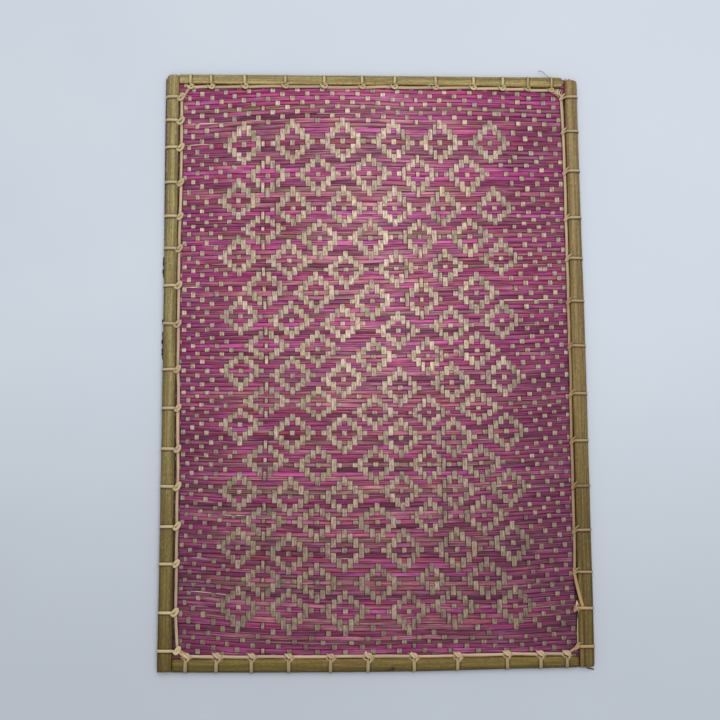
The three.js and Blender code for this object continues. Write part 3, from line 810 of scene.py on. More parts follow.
def warp_strips(cols, strips):
    for c in cols:
        i = c - WARP_FIRST
        w = RNG.uniform(0, 1)
        base = linear((219, 203, 172)) * (0.84 + 0.26 * w)
        base = base * np.array([1.0 - 0.05 * RNG.uniform(0, 1), 1.0, 1.0 - 0.1 * RNG.uniform(0, 1)])
        pts = []
        for j in range(len(RS)):
            over_here = OVER[i, j]
            z = RISE if over_here else -RISE
            a_flip = j > 0 and OVER[i, j - 1] != over_here
            b_flip = j < len(RS) - 1 and OVER[i, j + 1] != over_here
            if a_flip:
                pts.append((j - 0.5, RAMP, z, 0))
            if j % 4 == 0 and not a_flip and not b_flip or j in (0, len(RS) - 1):
                pts.append((float(j), 0.0, z, 0))
            if b_flip:
                pts.append((j + 0.5, -RAMP, z, 0))
                # a ring halfway down the ramp, flagged for painted shade
                pts.append((j + 0.5, 0.0, 0.0, 1))
        idx = np.array([p[0] for p in pts])
        dv = np.array([p[1] for p in pts])
        z = np.array([p[2] for p in pts])
        mid = np.array([p[3] for p in pts], float)
        jj = np.arange(len(RS), dtype=float)
        v = np.interp(idx, jj, V[i]) + dv
        order = np.argsort(v, kind="stable")
        v, z, mid = v[order], z[order], mid[order]
        v = np.concatenate([[max(v[0] - 0.9, 0.4)], v, [min(v[-1] + 0.9, 429.6)]])
        z = np.concatenate([[z[0]], z, [z[-1]]])
        mid = np.concatenate([[0], mid, [0]])
        under = ((z < 0) & (mid == 0))[:, None]
        u = np.interp(v, V[i], U[i]) + 0.18
        lf = np.interp(v, V[i], U[i] - U[i - 1]) * 0.5 if i > 0 else np.full(len(v), 1.6)
        rt = np.interp(v, V[i], U[i + 1] - U[i]) * 0.5 if i < len(CS) - 1 else np.full(len(v), 1.6)
        cap = NARROW.get(int(c), 3.6) * 0.5
        lf = np.clip(lf - 0.5 * half_gap(c * 2 + 5001, v), 0.8, cap)
        rt = np.clip(rt - 0.5 * half_gap(c * 2 + 5003, v), 0.8, cap)
        # these two lie a little apart for a stretch
        apart = 0.42 * np.clip(1 - np.abs(v - 89) / 34.0, 0, 1) ** 0.5
        if c == -24:
            rt = rt - apart
        if c == -23:
            lf = lf - apart
        slope = np.gradient(u, v)
        ln = np.hypot(1, slope)
        across = np.stack([1 / ln, -slope / ln], 1)
        zc = Z_PANEL + z
        tilt = wobble(c + 1700, v, 40.0, 0.05)
        rgb = base[None, :] * (tone_and_painted_glare(u, v) * (1 + wobble(c + 2100, v, 26.0, 0.08) + wobble(c + 2300, v, 5.5, 0.24)))[:, None]
        rgb = rgb * np.stack([np.interp(v, (60, 220, 360, 430), k) for k in
                              ((0.84, 0.84, 0.66, 0.64), (0.77, 0.78, 0.565, 0.55), (0.85, 0.85, 0.60, 0.58))], 1)
        # lighter across the middle of the upper part: painted highlight
        rgb = rgb * (1 + 0.12 * np.exp(-((u - 168) / 45.0) ** 2) * np.clip((270 - v) / 60.0, 0, 1))[:, None]
        # painted shade: rings halfway down a ramp are darkened for the shadow in the gap
        rgb = rgb * (1 - 0.60 * mid)[:, None]
        rgb = np.where(under, rgb * np.array([[0.34, 0.07, 0.20]]), rgb)  # dye has run onto the part under the wefts, and it is darkened there as painted shade
        strips.add(np.stack([u, v, zc], 1), across, lf, rt, STRIP, tilt, rgb, c * 1.0 + 500, edge=0.14)


WEFT_MAT = weft_material()
WARP_MAT = warp_material()

half = WEFT_FIRST + len(RS) // 2
wefts_top, wefts_low, warps_all = Strips(), Strips(), Strips()
weft_strips(range(WEFT_FIRST, half), wefts_top)
weft_strips(range(half, WEFT_LAST + 1), wefts_low)
warp_strips(range(WARP_FIRST, WARP_LAST + 1), warps_all)
half_row = half
sliver_strips((wefts_top, wefts_low))
loose_bits((wefts_top, wefts_low))
W1 = wefts_top.build("wefts_upper", WEFT_MAT)
W2 = wefts_low.build("wefts_lower", WEFT_MAT)
W3 = warps_all.build("warps", WARP_MAT)


# ---------------------------------------------------------------- rails
# Each side has its own coordinates: s along the side, t inwards from the outer line, z up.
SIDES = {
    "left": lambda s, t: (t, s),
    "right": lambda s, t: (305.0 - t, s),
    "top": lambda s, t: (s, t),
    "bottom": lambda s, t: (s, 430.0 - t),
}
RAIL_Z = (2.25, 5.55)


def nudge(table, by):
    return tuple((a, *(x + by(a) for x in rest)) for a, *rest in table)



# along the side: (s, outer edge, inner edge), mm
RAILS = {
    "left": ((0.2, 2.1, 8.9), (1.2, 0.9, 9.2), (2.8, 0.25, 9.2), (60, 0.15, 9.3), (130, 0.15, 9.3), (200, 0.15, 9.4),
             (260, 0.2, 9.6), (330, 0.0, 9.8), (395, -0.35, 9.8), (428, -0.5, 9.6), (430.1, -0.5, 9.6)),
    "right": ((0.9, 1.9, 9.2), (1.7, 1.0, 9.8), (4, 0.7, 10.0), (60, 0.5, 10.0), (130, 0.2, 10.0), (200, -0.1, 10.2),
              (260, -0.2, 10.2), (330, -0.2, 10.4), (400, -0.2, 10.7), (427, -0.2, 10.7), (428.9, 0.3, 10.6)),
    "top": ((9.35, -0.2, 6.1), (10.2, -0.7, 6.3), (60, -0.9, 6.4), (120, -1.1, 6.0), (180, -1.35, 5.6), (240, -1.5, 5.7),
            (285, -1.6, 6.1), (292.0, -1.5, 5.9), (292.9, -1.1, 5.5)),
    "bottom": ((10.0, -0.2, 8.8), (12, -0.3, 8.9), (60, -0.6, 8.8), (120, -0.9, 8.6), (180, -0.9, 8.3), (249, -0.9, 7.8),
               (285, -0.6, 7.4), (292, -0.5, 7.2), (293.8, -0.2, 7.0)),
}
def _bottom_lean(a):
    return float(np.interp(a, (10, 50, 100, 170, 200, 240, 290), (-0.1, -0.4, -0.5, -0.4, 0.1, 0.8, 1.1)))


RAILS["bottom"] = nudge(RAILS["bottom"], _bottom_lean)
# painted light and shade on each rail across its width, from its outer edge inwards
RAIL_PAINTED_LIGHT = {
    "left": ((0.0, 0.14, 0.3, 0.5, 0.64, 0.8, 1.0), (0.70, 0.84, 0.92, 1.10, 1.10, 0.80, 0.92)),
    "right": ((0.0, 0.3, 0.8, 1.0), (0.95, 0.95, 1.08, 1.08)),
    "top": ((0.0, 0.45, 0.75, 1.0), (0.76, 0.78, 0.92, 1.3)),
    "bottom": ((0.0, 0.16, 0.35, 0.6, 0.8, 1.0), (0.62, 0.72, 0.98, 1.08, 1.3, 1.4)),
}
# colour along the side: (s, colour)
RAIL_RGB = {
    "left": ((0, (168, 150, 98)), (120, (158, 141, 90)), (240, (147, 129, 79)), (330, (130, 111, 57)), (430, (108, 87, 29))),
    "right": ((0, (152, 128, 82)), (120, (150, 126, 80)), (240, (135, 112, 64)), (330, (120, 99, 46)), (430, (106, 84, 28))),
    "top": ((0, (188, 167, 110)), (150, (184, 162, 105)), (305, (175, 153, 96))),
    "bottom": ((0, (108, 89, 30)), (150, (118, 97, 35)), (305, (110, 90, 33))),
}


class Skin(Strips):
    """Closed sweeps of any section, with the same attributes as the strips."""

    def sweep(self, rings, rgb, suv, caps=True, across=None):
        """rings n×k×3 (u, v, z), rgb n×3, suv n×k×3."""
        n, k = rings.shape[:2]
        self.v.append(rings.reshape(-1, 3))
        if rgb.ndim == 2:
            rgb = np.repeat(rgb[:, None, :], k, 1)
        c4 = np.concatenate([rgb, np.full((n, k, 1), 0.5) if across is None else across[:, :, None]], 2)
        self.col.append(c4.reshape(-1, 4))
        self.suv.append(suv.reshape(-1, 3))
        a = np.arange(n - 1)[:, None] * k
        j = np.arange(k)[None, :]
        j2 = (j + 1) % k
        quads = np.stack([a + j, a + j2, a + k + j2, a + k + j], 2).reshape(-1, 4) + self.n
        self.f.extend(quads.tolist())
        if caps:
            self.f.append([self.n + i for i in range(k)][::-1])
            self.f.append([self.n + (n - 1) * k + i for i in range(k)])
        self.n += n * k


def rail_piece(side, seed):
    rows = np.array(RAILS[side], float)
    s0, s1 = rows[0, 0], rows[-1, 0]
    marks = [np.arange(s0, s1, 2.0), rows[:2, 0], rows[-2:, 0], [s1]]
    # extra rings beside each loop carry its painted shadow on the rail
    for a, _ in LOOPS[side]:
        h = LOOP_WIDTH[side] / 2
        marks.append(a + np.array([-h - 0.9, -h - 0.35, -h, h, h + 0.35, h + 0.8, h + 1.5]))
    if side == "bottom":
        marks += [np.arange(157, 169, 0.6), np.arange(152, 156, 0.6), np.arange(115, 119, 0.6)]
    s = np.unique(np.clip(np.round(np.concatenate(marks), 2), s0, s1))
    out = np.interp(s, rows[:, 0], rows[:, 1]) + wobble(seed, s, 34, 0.14) + wobble(seed + 1, s, 6, 0.04)
    inn = np.interp(s, rows[:, 0], rows[:, 2]) + wobble(seed + 2, s, 41, 0.14) + wobble(seed + 3, s, 7, 0.05)
    mid, half = 0.5 * (out + inn), 0.5 * (inn - out)
    top = RAIL_Z[1] - RAIL_Z[0] - 0.15 + wobble(seed + 4, s, 55, 0.14)
    top *= np.clip(0.95 + np.minimum(s - s0, s1 - s) * 0.08, 0, 1)
    k = 22
    ang = np.linspace(0, math.pi, k)
    sx = np.sign(np.cos(ang)) * np.abs(np.cos(ang)) ** 0.86
    sz = np.abs(np.sin(ang)) ** 0.66
    t = mid[:, None] - half[:, None] * sx[None, :]
    z = RAIL_Z[0] + 0.35 + (top[:, None] - 0.35) * sz[None, :]
    # lengthwise ribs and hollows of the split culm
    for i in range(k):
        z[:, i] += wobble(seed + 20 + i, s, 90, 0.05) * sz[i] + wobble(seed + 60 + i, s, 19, 0.022) * sz[i]
    if side == "right":
        groove = np.interp(s, (0, 90, 200, 330, 372, 430), (0.0, 0.05, 0.12, 0.2, 0.42, 0.5))
        for off, amp, wid in ((3.7, 1.0, 0.45), (8.6, 0.5, 0.4)):
            d = np.abs((inn[:, None] - t) - off)
            z -= amp * groove[:, None] * np.exp(-(d / wid) ** 2)
    bt = np.stack([mid + half * 0.97, mid, mid - half * 0.97], 1)
    bz = np.full_like(bt, RAIL_Z[0]) + wobble(seed + 9, s, 30, 0.03)[:, None]
    t = np.concatenate([t, bt], 1)
    z = np.concatenate([z, bz], 1)
    ss = np.repeat(s[:, None], t.shape[1], 1)
    u, v = SIDES[side](ss, t)
    rings = np.stack([u, v, z], 2)
    rgb = np.stack([np.interp(s, [a for a, _ in RAIL_RGB[side]], [linear(c)[i] for _, c in RAIL_RGB[side]])
                    for i in range(3)], 1)
    suv = np.stack([ss, t - mid[:, None], np.full_like(ss, seed)], 2)
    across = np.clip((t - out[:, None]) / (inn - out)[:, None], 0, 1)
    rgb = np.repeat(rgb[:, None, :], t.shape[1], 1) * np.interp(across, *RAIL_PAINTED_LIGHT[side])[:, :, None]
    if side == "bottom":
        # bluer towards the inner edge: part of the painted highlight
        rgb = rgb * (1 + np.clip(across - 0.6, 0, 1)[:, :, None] * np.array([0.0, 0.05, 1.1]))
        # a dark scar near the middle of its outer edge, and small marks
        for a0, b0, wa, wb, k in ((162.9, 0.24, 1.5, 0.15, 0.90), (160.6, 0.11, 2.8, 0.09, 0.60),
                                  (117.0, 0.45, 1.0, 0.10, 0.35), (154.0, 0.72, 0.9, 0.07, 0.40)):
            spot = np.exp(-((s[:, None] - a0) / wa) ** 2 - ((across - b0) / wb) ** 2)
            rgb = rgb * (1 - k * spot[:, :, None] * np.array([0.88, 1.0, 1.0]))
    if side == "right":
        # the lower part is striped: olive inside its groove, brown and a green streak outside
        low = np.interp(s, (180, 290, 340, 380), (0.0, 0.25, 0.7, 1.0))[:, None, None]
        off = inn[:, None] - t
        stripe = np.stack([np.interp(off, (0, 0.7, 1.6, 2.9, 3.5, 3.9, 4.6, 6.0, 7.2, 8.4, 9.0, 10.5),
                                     [linear(c)[i] for c in ((92, 74, 30), (118, 100, 46), (114, 96, 44), (108, 90, 38),
                                                             (84, 66, 26), (82, 64, 24), (124, 90, 42), (118, 90, 40),
                                                             (110, 96, 38), (114, 106, 46), (98, 82, 32), (94, 78, 30))])
                           for i in range(3)], 2)
        rgb = rgb * (1 - low) + stripe * low
    # painted shadow beside each loop on the rail, deeper past it along s than before it
    for a, _ in LOOPS[side]:
        h = LOOP_WIDTH[side] / 2
        f = 1 - 0.62 * np.exp(-((s - a - h - 0.4) / 0.5) ** 2) - 0.34 * np.exp(-((s - a + h + 0.25) / 0.4) ** 2)
        rgb = rgb * np.clip(f, 0.2, 1)[:, None, None]
    sk = Skin()
    sk.sweep(rings, rgb, suv, across=across)
    return sk


def rail_material():
    m, nt, b = nodes_of("split bamboo rail")
    g = G(nt)
    at = g.attr("col")
    col, edge = at.outputs["Color"], at.outputs["Alpha"]
    s, a, k = g.split(g.attr("suv").outputs["Vector"])
    band = g.noise(g.vec(g.math("MULTIPLY", s, 0.010), g.math("MULTIPLY", a, 0.42), k), 1.0, 4.0, 0.62)
    streak = g.noise(g.vec(g.math("MULTIPLY", s, 0.035), g.math("MULTIPLY", a, 1.05), g.math("ADD", k, 9.0)), 1.0, 4.0, 0.66)
    fibre = g.noise(g.vec(g.math("MULTIPLY", s, 0.05), g.math("MULTIPLY", a, 3.0), k), 1.0, 4.0, 0.65)
    spot = g.noise(g.vec(g.math("MULTIPLY", s, 0.10), g.math("MULTIPLY", a, 0.45), g.math("ADD", k, 40.0)), 1.0, 4.0, 0.66)
    grain = g.noise(g.vec(g.math("MULTIPLY", s, 0.42), g.math("MULTIPLY", a, 1.1), g.math("ADD", k, 70.0)), 1.0, 3.0, 0.65)
    f = g.step(fibre, 0.41, 0.60, 0.86, 1.12)
    c = g.mix(1.0, col, g.vec(f, f, f), "MULTIPLY")
    f = g.step(streak, 0.41, 0.60, 0.76, 1.22)
    c = g.mix(1.0, c, g.vec(f, f, f), "MULTIPLY")
    f = g.step(grain, 0.41, 0.60, 0.74, 1.24)
    c = g.mix(1.0, c, g.vec(f, f, f), "MULTIPLY")
    c = g.mix(g.step(band, 0.5, 0.61, 0.0, 0.6), c, g.mix(1.0, col, (1.38, 1.46, 1.52, 1), "MULTIPLY"))
    c = g.mix(g.step(band, 0.5, 0.40, 0.0, 0.55), c, g.mix(1.0, col, (0.52, 0.50, 0.40, 1), "MULTIPLY"))
    c = g.mix(g.step(spot, 0.52, 0.62, 0.0, 0.6), c, g.mix(1.0, col, (0.72, 0.90, 0.62, 1), "MULTIPLY"))
    c = g.mix(g.step(spot, 0.46, 0.37, 0.0, 0.6), c, g.mix(1.0, col, (0.98, 0.64, 0.62, 1), "MULTIPLY"))
    # brown along both edges: weathered colour, with painted shade of the rounded edges
    d = g.math("ABSOLUTE", g.math("MULTIPLY_ADD", edge, 2.0, -1.0))
    rim = g.math("MULTIPLY", g.step(d, 0.85, 1.0, 0.0, 1.0), g.step(streak, 0.3, 0.6, 0.5, 0.9))
    c = g.mix(rim, c, g.mix(1.0, col, (0.30, 0.25, 0.16, 1), "MULTIPLY"))
    nt.links.new(c, b.inputs["Base Color"])
    b.inputs["Roughness"].default_value = 0.42
    b.inputs["Specular IOR Level"].default_value = 0.3
    h = g.math("ADD", g.math("ADD", fibre, g.math("MULTIPLY", band, 0.6)), g.math("MULTIPLY", streak, 0.9))
    nt.links.new(g.bump(h, 0.55, 0.0004), b.inputs["Normal"])
    return m


# ---------------------------------------------------------------- lashing
WEAVE_TOP = Z_PANEL + RISE + STRIP / 2


def strand(sk, side, pts, width, thick, rgb, seed, steps=6, taper=(0.0, 0.0), fibre=0.06):
    """pts: rows of (s, t, z, across_s, across_t, across_z). A strip with a rounded outer face."""
    c = catmull(pts, steps)
    pos, acr = c[:, :3], c[:, 3:6]
    tan = np.gradient(pos, axis=0)
    tan /= np.linalg.norm(tan, axis=1)[:, None] + 1e-9
    acr = acr - tan * (acr * tan).sum(1)[:, None]
    acr /= np.linalg.norm(acr, axis=1)[:, None] + 1e-9
    nor = np.cross(tan, acr)
    if nor[np.argmax(pos[:, 2]), 2] < 0:
        nor = -nor  # the rounded face looks outwards
    n = len(c)
    x = np.cumsum(np.concatenate([[0], np.linalg.norm(np.diff(pos, axis=0), axis=1)]))
    w = np.full(n, width * 0.5) * (1 + wobble(seed, x, 4.0, fibre))
    th = np.full(n, thick * 0.5) * (1 + wobble(seed + 3, x, 5.0, fibre))
    if taper[0]:
        w *= np.clip(0.25 + x / taper[0], 0, 1)
    if taper[1]:
        w *= np.clip(0.25 + (x[-1] - x) / taper[1], 0, 1)
    ang = np.linspace(0, 2 * math.pi, 12, endpoint=False) + math.pi / 12
    ca = np.sign(np.cos(ang)) * np.abs(np.cos(ang)) ** 0.75
    sa = np.sign(np.sin(ang)) * np.abs(np.sin(ang)) ** 0.85
    a = w[:, None] * ca[None, :]
    bb = th[:, None] * sa[None, :] * (1.0 - 0.15 * (sa[None, :] < 0))
    loc = pos[:, None, :] + acr[:, None, :] * a[:, :, None] + nor[:, None, :] * bb[:, :, None]
    u, v = SIDES[side](loc[:, :, 0], loc[:, :, 1])
    rings = np.stack([u, v, loc[:, :, 2]], 2)
    suv = np.stack([np.repeat(x[:, None], 12, 1), a + 0.35 * bb, np.full_like(a, seed * 1.0)], 2)
    # painted shade: its sides are darker than its face, most towards the lower right
    face = np.clip((sa - 0.1) / 0.72, 0, 1)
    face = 0.20 + 0.86 * face * face * (3 - 2 * face)
    o = np.array(SIDES[side](acr[:, 0], acr[:, 1])) - np.array(SIDES[side](0.0, 0.0))[:, None]
    low = (0.45 * o[0] + 0.9 * o[1])[:, None] * ca[None, :]  # towards the lower right
    face = face[None, :] * (1 - 0.45 * np.clip(low, 0, 1) ** 1.5) * (1 + 0.06 * np.clip(-low, 0, 1))
    rgb = np.atleast_2d(np.asarray(rgb, float))
    if len(rgb) > 1:
        at = np.linspace(0, len(rgb) - 1, n)
        rgb = np.stack([np.interp(at, np.arange(len(rgb)), rgb[:, i]) for i in range(3)], 1)
    ring = np.broadcast_to(rgb[:, None, :], (n, 1, 3)) * face[:, :, None]
    sk.sweep(rings, ring, suv)


def rail_at(side, s):
    rows = np.array(RAILS[side], float)
    return float(np.interp(s, rows[:, 0], rows[:, 1])), float(np.interp(s, rows[:, 0], rows[:, 2]))


def flat(rows):
    """Gives (s, t, z) rows an across that lies flat, square to the way the strip runs."""
    q = np.asarray([p[:3] for p in rows], float)
    d = np.gradient(q[:, :2], axis=0)
    d /= np.linalg.norm(d, axis=1)[:, None] + 1e-9
    return [(a, b, z, e[1], -e[0], 0.0) for (a, b, z), e in zip(q, d)]


def above(side, row, clear=0.3):
    """Lifts a row of a strand clear of the rail's rounded edge."""
    s, t, z = row[:3]
    out, inn = rail_at(side, s)
    if t >= inn + 0.1:
        return row
    x = min(abs(t - 0.5 * (out + inn)) / (0.5 * (inn - out)), 1.0) ** (1 / 0.86)
    top = RAIL_Z[0] + 0.35 + 2.8 * (1 - x * x) ** 0.33
    return (s, t, max(z, top + clear), *row[3:])


def rattan(rng, dark=0.0, v=0.0):
    pale = np.array((208, 184, 144.0))
    pink = np.array((212, 176, 146.0))
    brown = np.array((156, 126, 82.0))
    k = rng.uniform(0, 1)
    c = pale * (1 - 0.45 * k) + pink * 0.45 * k
    c = c * (1 - dark) + brown * dark
    c = c * np.array((1.0, 1.0 - 0.02 * (v > 120), 1.0))
    c = c * np.interp(v, (0, 200, 330, 405, 422), (0.99, 0.98, 0.90, 0.91, 0.985))
    return linear(c * rng.uniform(0.93, 1.05))


# how the loop's inner end goes round the running strip: (along, inwards, height, across) from the knot's middle
RINGS = {
    "left": ((0.4, -2.9, 1.0), (1.7, -2.0, 1.1), (2.0, -0.8, 1.15), (0.9, 0.55, 1.1), (-0.9, 1.5, 0.95), (-2.4, 1.5, 0.95),
             (-2.4, 0.5, 1.2), (-1.1, -0.7, 1.3), (0.3, -2.0, 1.0), (0.9, -2.7, 0.5)),
    "right": ((0.2, -1.7, 1.2), (0.9, -0.5, 1.15), (2.0, 0.6, 0.95), (3.2, 1.2, 0.3)),
    "top": ((0.4, -2.0, 1.2), (1.6, -1.0, 1.15), (1.9, 0.2, 1.0), (0.8, 1.2, 0.95), (-0.7, 0.9, 1.2), (-1.9, -0.2, 1.3),
            (-2.9, -1.4, 1.0)),
    "bottom": ((1.0, -2.6, 1.2), (2.1, -1.5, 1.25), (2.3, -0.2, 1.2), (1.4, 1.1, 1.1), (0.0, 1.8, 0.9), (-1.3, 1.9, 0.3)),
}
# a second turn over the running strip
TURNS = {
    "left": ((-2.9, -1.7, 0.1), (-2.2, -0.9, 0.4), (-1.3, -0.1, 0.35), (-0.6, 0.7, 0.1)),
    "right": ((-3.4, -3.0, 0.7), (-2.6, -2.2, 1.35), (-0.9, -0.4, 1.45), (0.9, 1.1, 1.15), (2.2, 1.9, 0.4)),
    "top": ((-2.7, 1.0, 0.2), (-1.3, 0.1, 0.9), (0.2, -0.7, 1.5), (1.7, -1.1, 1.3), (2.9, -1.2, 0.5)),
    "bottom": ((-2.9, 2.4, 0.2), (-1.7, 1.5, 1.1), (0.0, -0.1, 1.5), (1.3, -1.5, 1.6), (1.7, -2.8, 1.3)),
}


def loop_tone(side, s, row, out, inn):
    """Loops are yellower than the running strips, and darker where they go down the outer side."""
    f = min(max((row[1] - out) / (inn - out), 0.0), 1.3)
    if side == "bottom":
        return np.array([np.interp(f, (0.0, 0.3, 0.8, 1.25), k) for k in
                         ((0.46, 0.58, 0.66, 0.94), (0.48, 0.62, 0.68, 0.93), (0.30, 0.40, 0.50, 0.80))])
    if side == "left":
        return np.array([np.interp(s, (0, 130, 200, 280, 310, 430), k) for k in
                         ((0.93, 0.93, 1.0, 1.0, 1.18, 1.15), (1.0, 1.0, 1.03, 1.05, 1.33, 1.28), (0.88, 0.88, 0.98, 1.0, 1.15, 1.08))])
    if side == "top":
        return np.array((0.98, 1.07, 0.90))
    return np.array([np.interp(s, (0, 190, 220, 280, 300, 330, 380, 430), k) for k in
                     ((1.0, 1.0, 1.2, 1.2, 0.82, 1.0, 1.25, 1.3), (1.0, 1.03, 1.26, 1.26, 0.82, 1.0, 1.25, 1.32),
                      (1.0, 0.98, 1.1, 1.1, 0.6, 0.95, 1.05, 0.98))])


def lashing(side, seed):
    rng = np.random.default_rng(seed)
    sk = Skin()
    w = STRIP_WIDTH[side]
    loops = LOOPS[side]
    zs = WEAVE_TOP + 0.42
    for i, (s, t) in enumerate(loops):
        dark = 0.0
        if side == "right":
            dark = float(np.interp(s, (0, 130, 200, 330, 430), (0.15, 0.2, 0.75, 0.6, 0.25)))
        out, inn = rail_at(side, s)
        lean = rng.uniform(-0.5, 0.5)
        zt = RAIL_Z[1] + 0.40
        A = (1.0, 0.0, 0.0)
        lw = LOOP_WIDTH[side]
        if side == "top" and i > 9:
            lw, dark = lw * 0.72, 0.35
        if side == "right" and i > 11:
            lw, dark = lw * 1.18, 0.45
        size = rng.uniform(0.88, 1.08)
        skew = rng.uniform(-0.3, 0.3)
        ring = [above(side, p) for p in
                flat([(s, t - 4.0, zs)] + [(s + a * size + skew * b * 0.3, t + b * size, zs + z) for a, b, z in RINGS[side]])[1:]]
        over = [
            (s + 0.1, t + 1.2, 0.75, *A),
            (s + lean * 0.2, t - 0.8, 0.42, *A),
            (s + lean * 0.6, out + 3.0, 0.42, *A),
            (s + lean, out + 0.9, 0.5, *A),
            (s + lean, out - 0.05, 1.4, *A),
            (s + lean * 0.95, out - 0.25, zt - 2.5, *A),
            (s + lean * 0.85, out + 0.55, zt - 0.95, *A),
            (s + lean * 0.7, out + 2.0, zt - 0.12, *A),
            (s + lean * 0.5, 0.5 * (out + inn), zt + 0.05, *A),
            (s + lean * 0.3, inn - 2.0, zt - 0.12, *A),
            (s + lean * 0.15, inn - 0.6, zt - 0.95, *A),
        ]
        far = inn + 0.2
        over += [p for p in ring if p[1] > far or side in ("left", "top", "bottom")]
        tint = rattan(rng, dark, SIDES[side](s, t)[1])
        tint = np.stack([tint * loop_tone(side, s, p, out, inn) for p in over])
        strand(sk, side, over, lw, 0.66, tint, seed * 100 + i, steps=5, taper=(0, 3.0))
        turn = [above(side, p) for p in flat([(s + a * size, t + b * size, zs + z) for a, b, z in TURNS[side]])]
        tint = rattan(rng, dark, SIDES[side](s, t)[1])
        if side == "left":
            tint = tint * 0.22  # painted shade: darkened to stand for the ring's shadow
        strand(sk, side, turn, lw * 0.74, 0.6, tint, seed * 100 + 30 + i, steps=4,
               taper=(2.0, 0.5 if side == "bottom" else 2.0))
        if side == "bottom":
            # two thin legs that come out from under the running strip and meet the loop
            for j, leg in enumerate((((-3.7, -0.5, 0.0), (-2.6, -1.3, 0.35), (-1.3, -2.3, 1.0), (-0.3, -3.4, 1.45), (0.2, -4.5, 1.4)),
                                     ((4.6, -0.9, 0.0), (3.5, -1.5, 0.4), (2.4, -2.3, 1.0), (1.5, -3.3, 1.45), (0.9, -4.6, 1.4)))):
                strand(sk, side, [above(side, p) for p in flat([(s + a * size, t + b * size, zs + z) for a, b, z in leg])],
                       1.05, 0.5, rattan(rng, 0.25, SIDES[side](s, t)[1]), seed * 100 + 45 + i + 20 * j, steps=3, taper=(0, 1.0))
    # the running strip from knot to knot, laid on the weave
    for i in range(len(loops) - 1):
        (s0, t0), (s1, t1) = loops[i], loops[i + 1]
        dark = 0.0
        if side == "right":
            dark = float(np.interp(0.5 * (s0 + s1), (0, 130, 200, 330, 430), (0.15, 0.2, 0.75, 0.6, 0.25)))
            if i in (11, 12):
                continue
        m = max(3, int((s1 - s0) / 5))
        bow = rng.uniform(-0.3, 0.4)
        off0, off1 = rng.uniform(-0.25, 0.25), rng.uniform(-0.25, 0.25)
        if side == "top":
            off0, off1 = off0 + 0.45, off1 - 0.25
        if side == "bottom":
            off0, off1 = off0 + 0.1, off1 - 0.1
        pts = []
        for f in np.linspace(0, 1, m + 1):
            s = s0 - 0.8 + (s1 - s0 + 1.6) * f
            t = t0 + off0 + (t1 + off1 - t0 - off0) * f + bow * math.sin(math.pi * f)
            z = zs + 0.16 * math.sin(math.pi * f) - 0.10
            pts.append((s, t, z, 0.0, 1.0, rng.uniform(-0.12, 0.12)))
        tint = rattan(rng, dark, SIDES[side](s0, t0)[1])
        if side == "bottom":
            tint = tint * np.interp(s0, (150, 250), (1.0, 0.86))
        strand(sk, side, pts, w, 0.86, tint, seed * 100 + 60 + i, steps=4, fibre=0.07)

    def free(pts, width, thick, rgb, k, taper=(0, 0), steps=5):
        """A length of strip given in the mat's own u, v, whose across lies flat."""
        q = np.asarray(pts, float)
        d = np.gradient(q[:, :2], axis=0)
        rows = []
        for (u, v, z), (du, dv) in zip(q, d):
            if side == "left":
                loc, acr = (v, u), (-du, dv)
            elif side == "right":
                loc, acr = (v, 305.0 - u), (du, dv)
            elif side == "top":
                loc, acr = (u, v), (-dv, du)
            else:
                loc, acr = (u, 430.0 - v), (dv, du)
            rows.append((*loc, zs + z, *acr, 0.0))
        strand(sk, side, rows, width, thick, linear(rgb), seed * 100 + 90 + k, steps=steps, taper=taper)

    if side == "left":
        # over the corner to the first knot of the top
        free(((11.4, 19.0, 0.6), (12.6, 16.2, 1.0), (14.3, 13.2, 0.8), (15.9, 10.6, 0.9), (16.8, 9.0, 0.6)), 2.0, 0.7,
             (200, 166, 134), 0)
        free(((13.4, 17.4, 0.2), (13.9, 15.0, 0.5), (15.2, 12.6, 0.3)), 1.3, 0.5, (178, 140, 116), 1)
        # over the lower corner to the first knot of the bottom
        free(((12.6, 414.2, 0.5), (14.4, 416.2, 0.95), (16.4, 418.2, 0.8), (18.4, 420.2, 1.0), (20.0, 421.6, 0.6)), 2.0, 0.7,
             (196, 170, 126), 2)
        free(((14.8, 415.2, 0.4), (17.0, 416.6, 0.5), (18.6, 417.4, 0.7), (20.4, 418.6, 0.5)), 1.4, 0.5, (176, 146, 104), 3)
    if side == "right":
        # from the knot at 363 the strip slants out over the rail to the loop at 388
        free(((292.6, 360.6, 0.3), (292.8, 364.6, 0.4), (293.7, 370.8, 1.5), (294.9, 377.0, 2.4), (296.4, 383.2, 2.9),
              (297.6, 387.6, 2.9)), 2.45, 0.7, (176, 142, 96), 0)
        free(((293.9, 383.2, 1.0), (293.7, 385.2, 1.5), (294.2, 387.2, 1.6), (295.8, 388.6, 1.5)), 2.7, 0.45,
             (214, 184, 150), 1, taper=(4.2, 0))
        free(((291.8, 386.6, 0.7), (292.6, 388.6, 1.2), (294.6, 390.2, 1.5), (297.0, 389.6, 1.9)), 1.3, 0.5, (178, 144, 100), 2)
        free(((298.0, 386.0, 2.6), (296.4, 388.2, 2.4), (295.4, 390.6, 1.6), (294.9, 393.6, 0.8)), 1.8, 0.5, (172, 138, 92), 3)
        free(((297.8, 390.0, 1.8), (297.0, 391.8, 1.5), (296.5, 393.4, 0.9)), 0.9, 0.45, (128, 94, 54), 6, taper=(0, 1.4))
        # and a thin one goes on below it
        free(((295.4, 391.4, 0.6), (294.6, 395.0, 0.3), (294.2, 400.0, 0.2), (294.0, 406.0, 0.15), (293.8, 411.0, 0.2),
              (293.8, 416.0, 0.4)), 1.15, 0.7, (196, 172, 126), 4)
        # over the lower corner to the last knot of the bottom
        free(((293.8, 412.8, 0.6), (292.6, 415.4, 1.0), (290.2, 417.2, 0.7), (287.6, 419.0, 0.8), (285.6, 421.2, 0.7)), 2.1, 0.7,
             (172, 142, 94), 5)
    if side == "top":
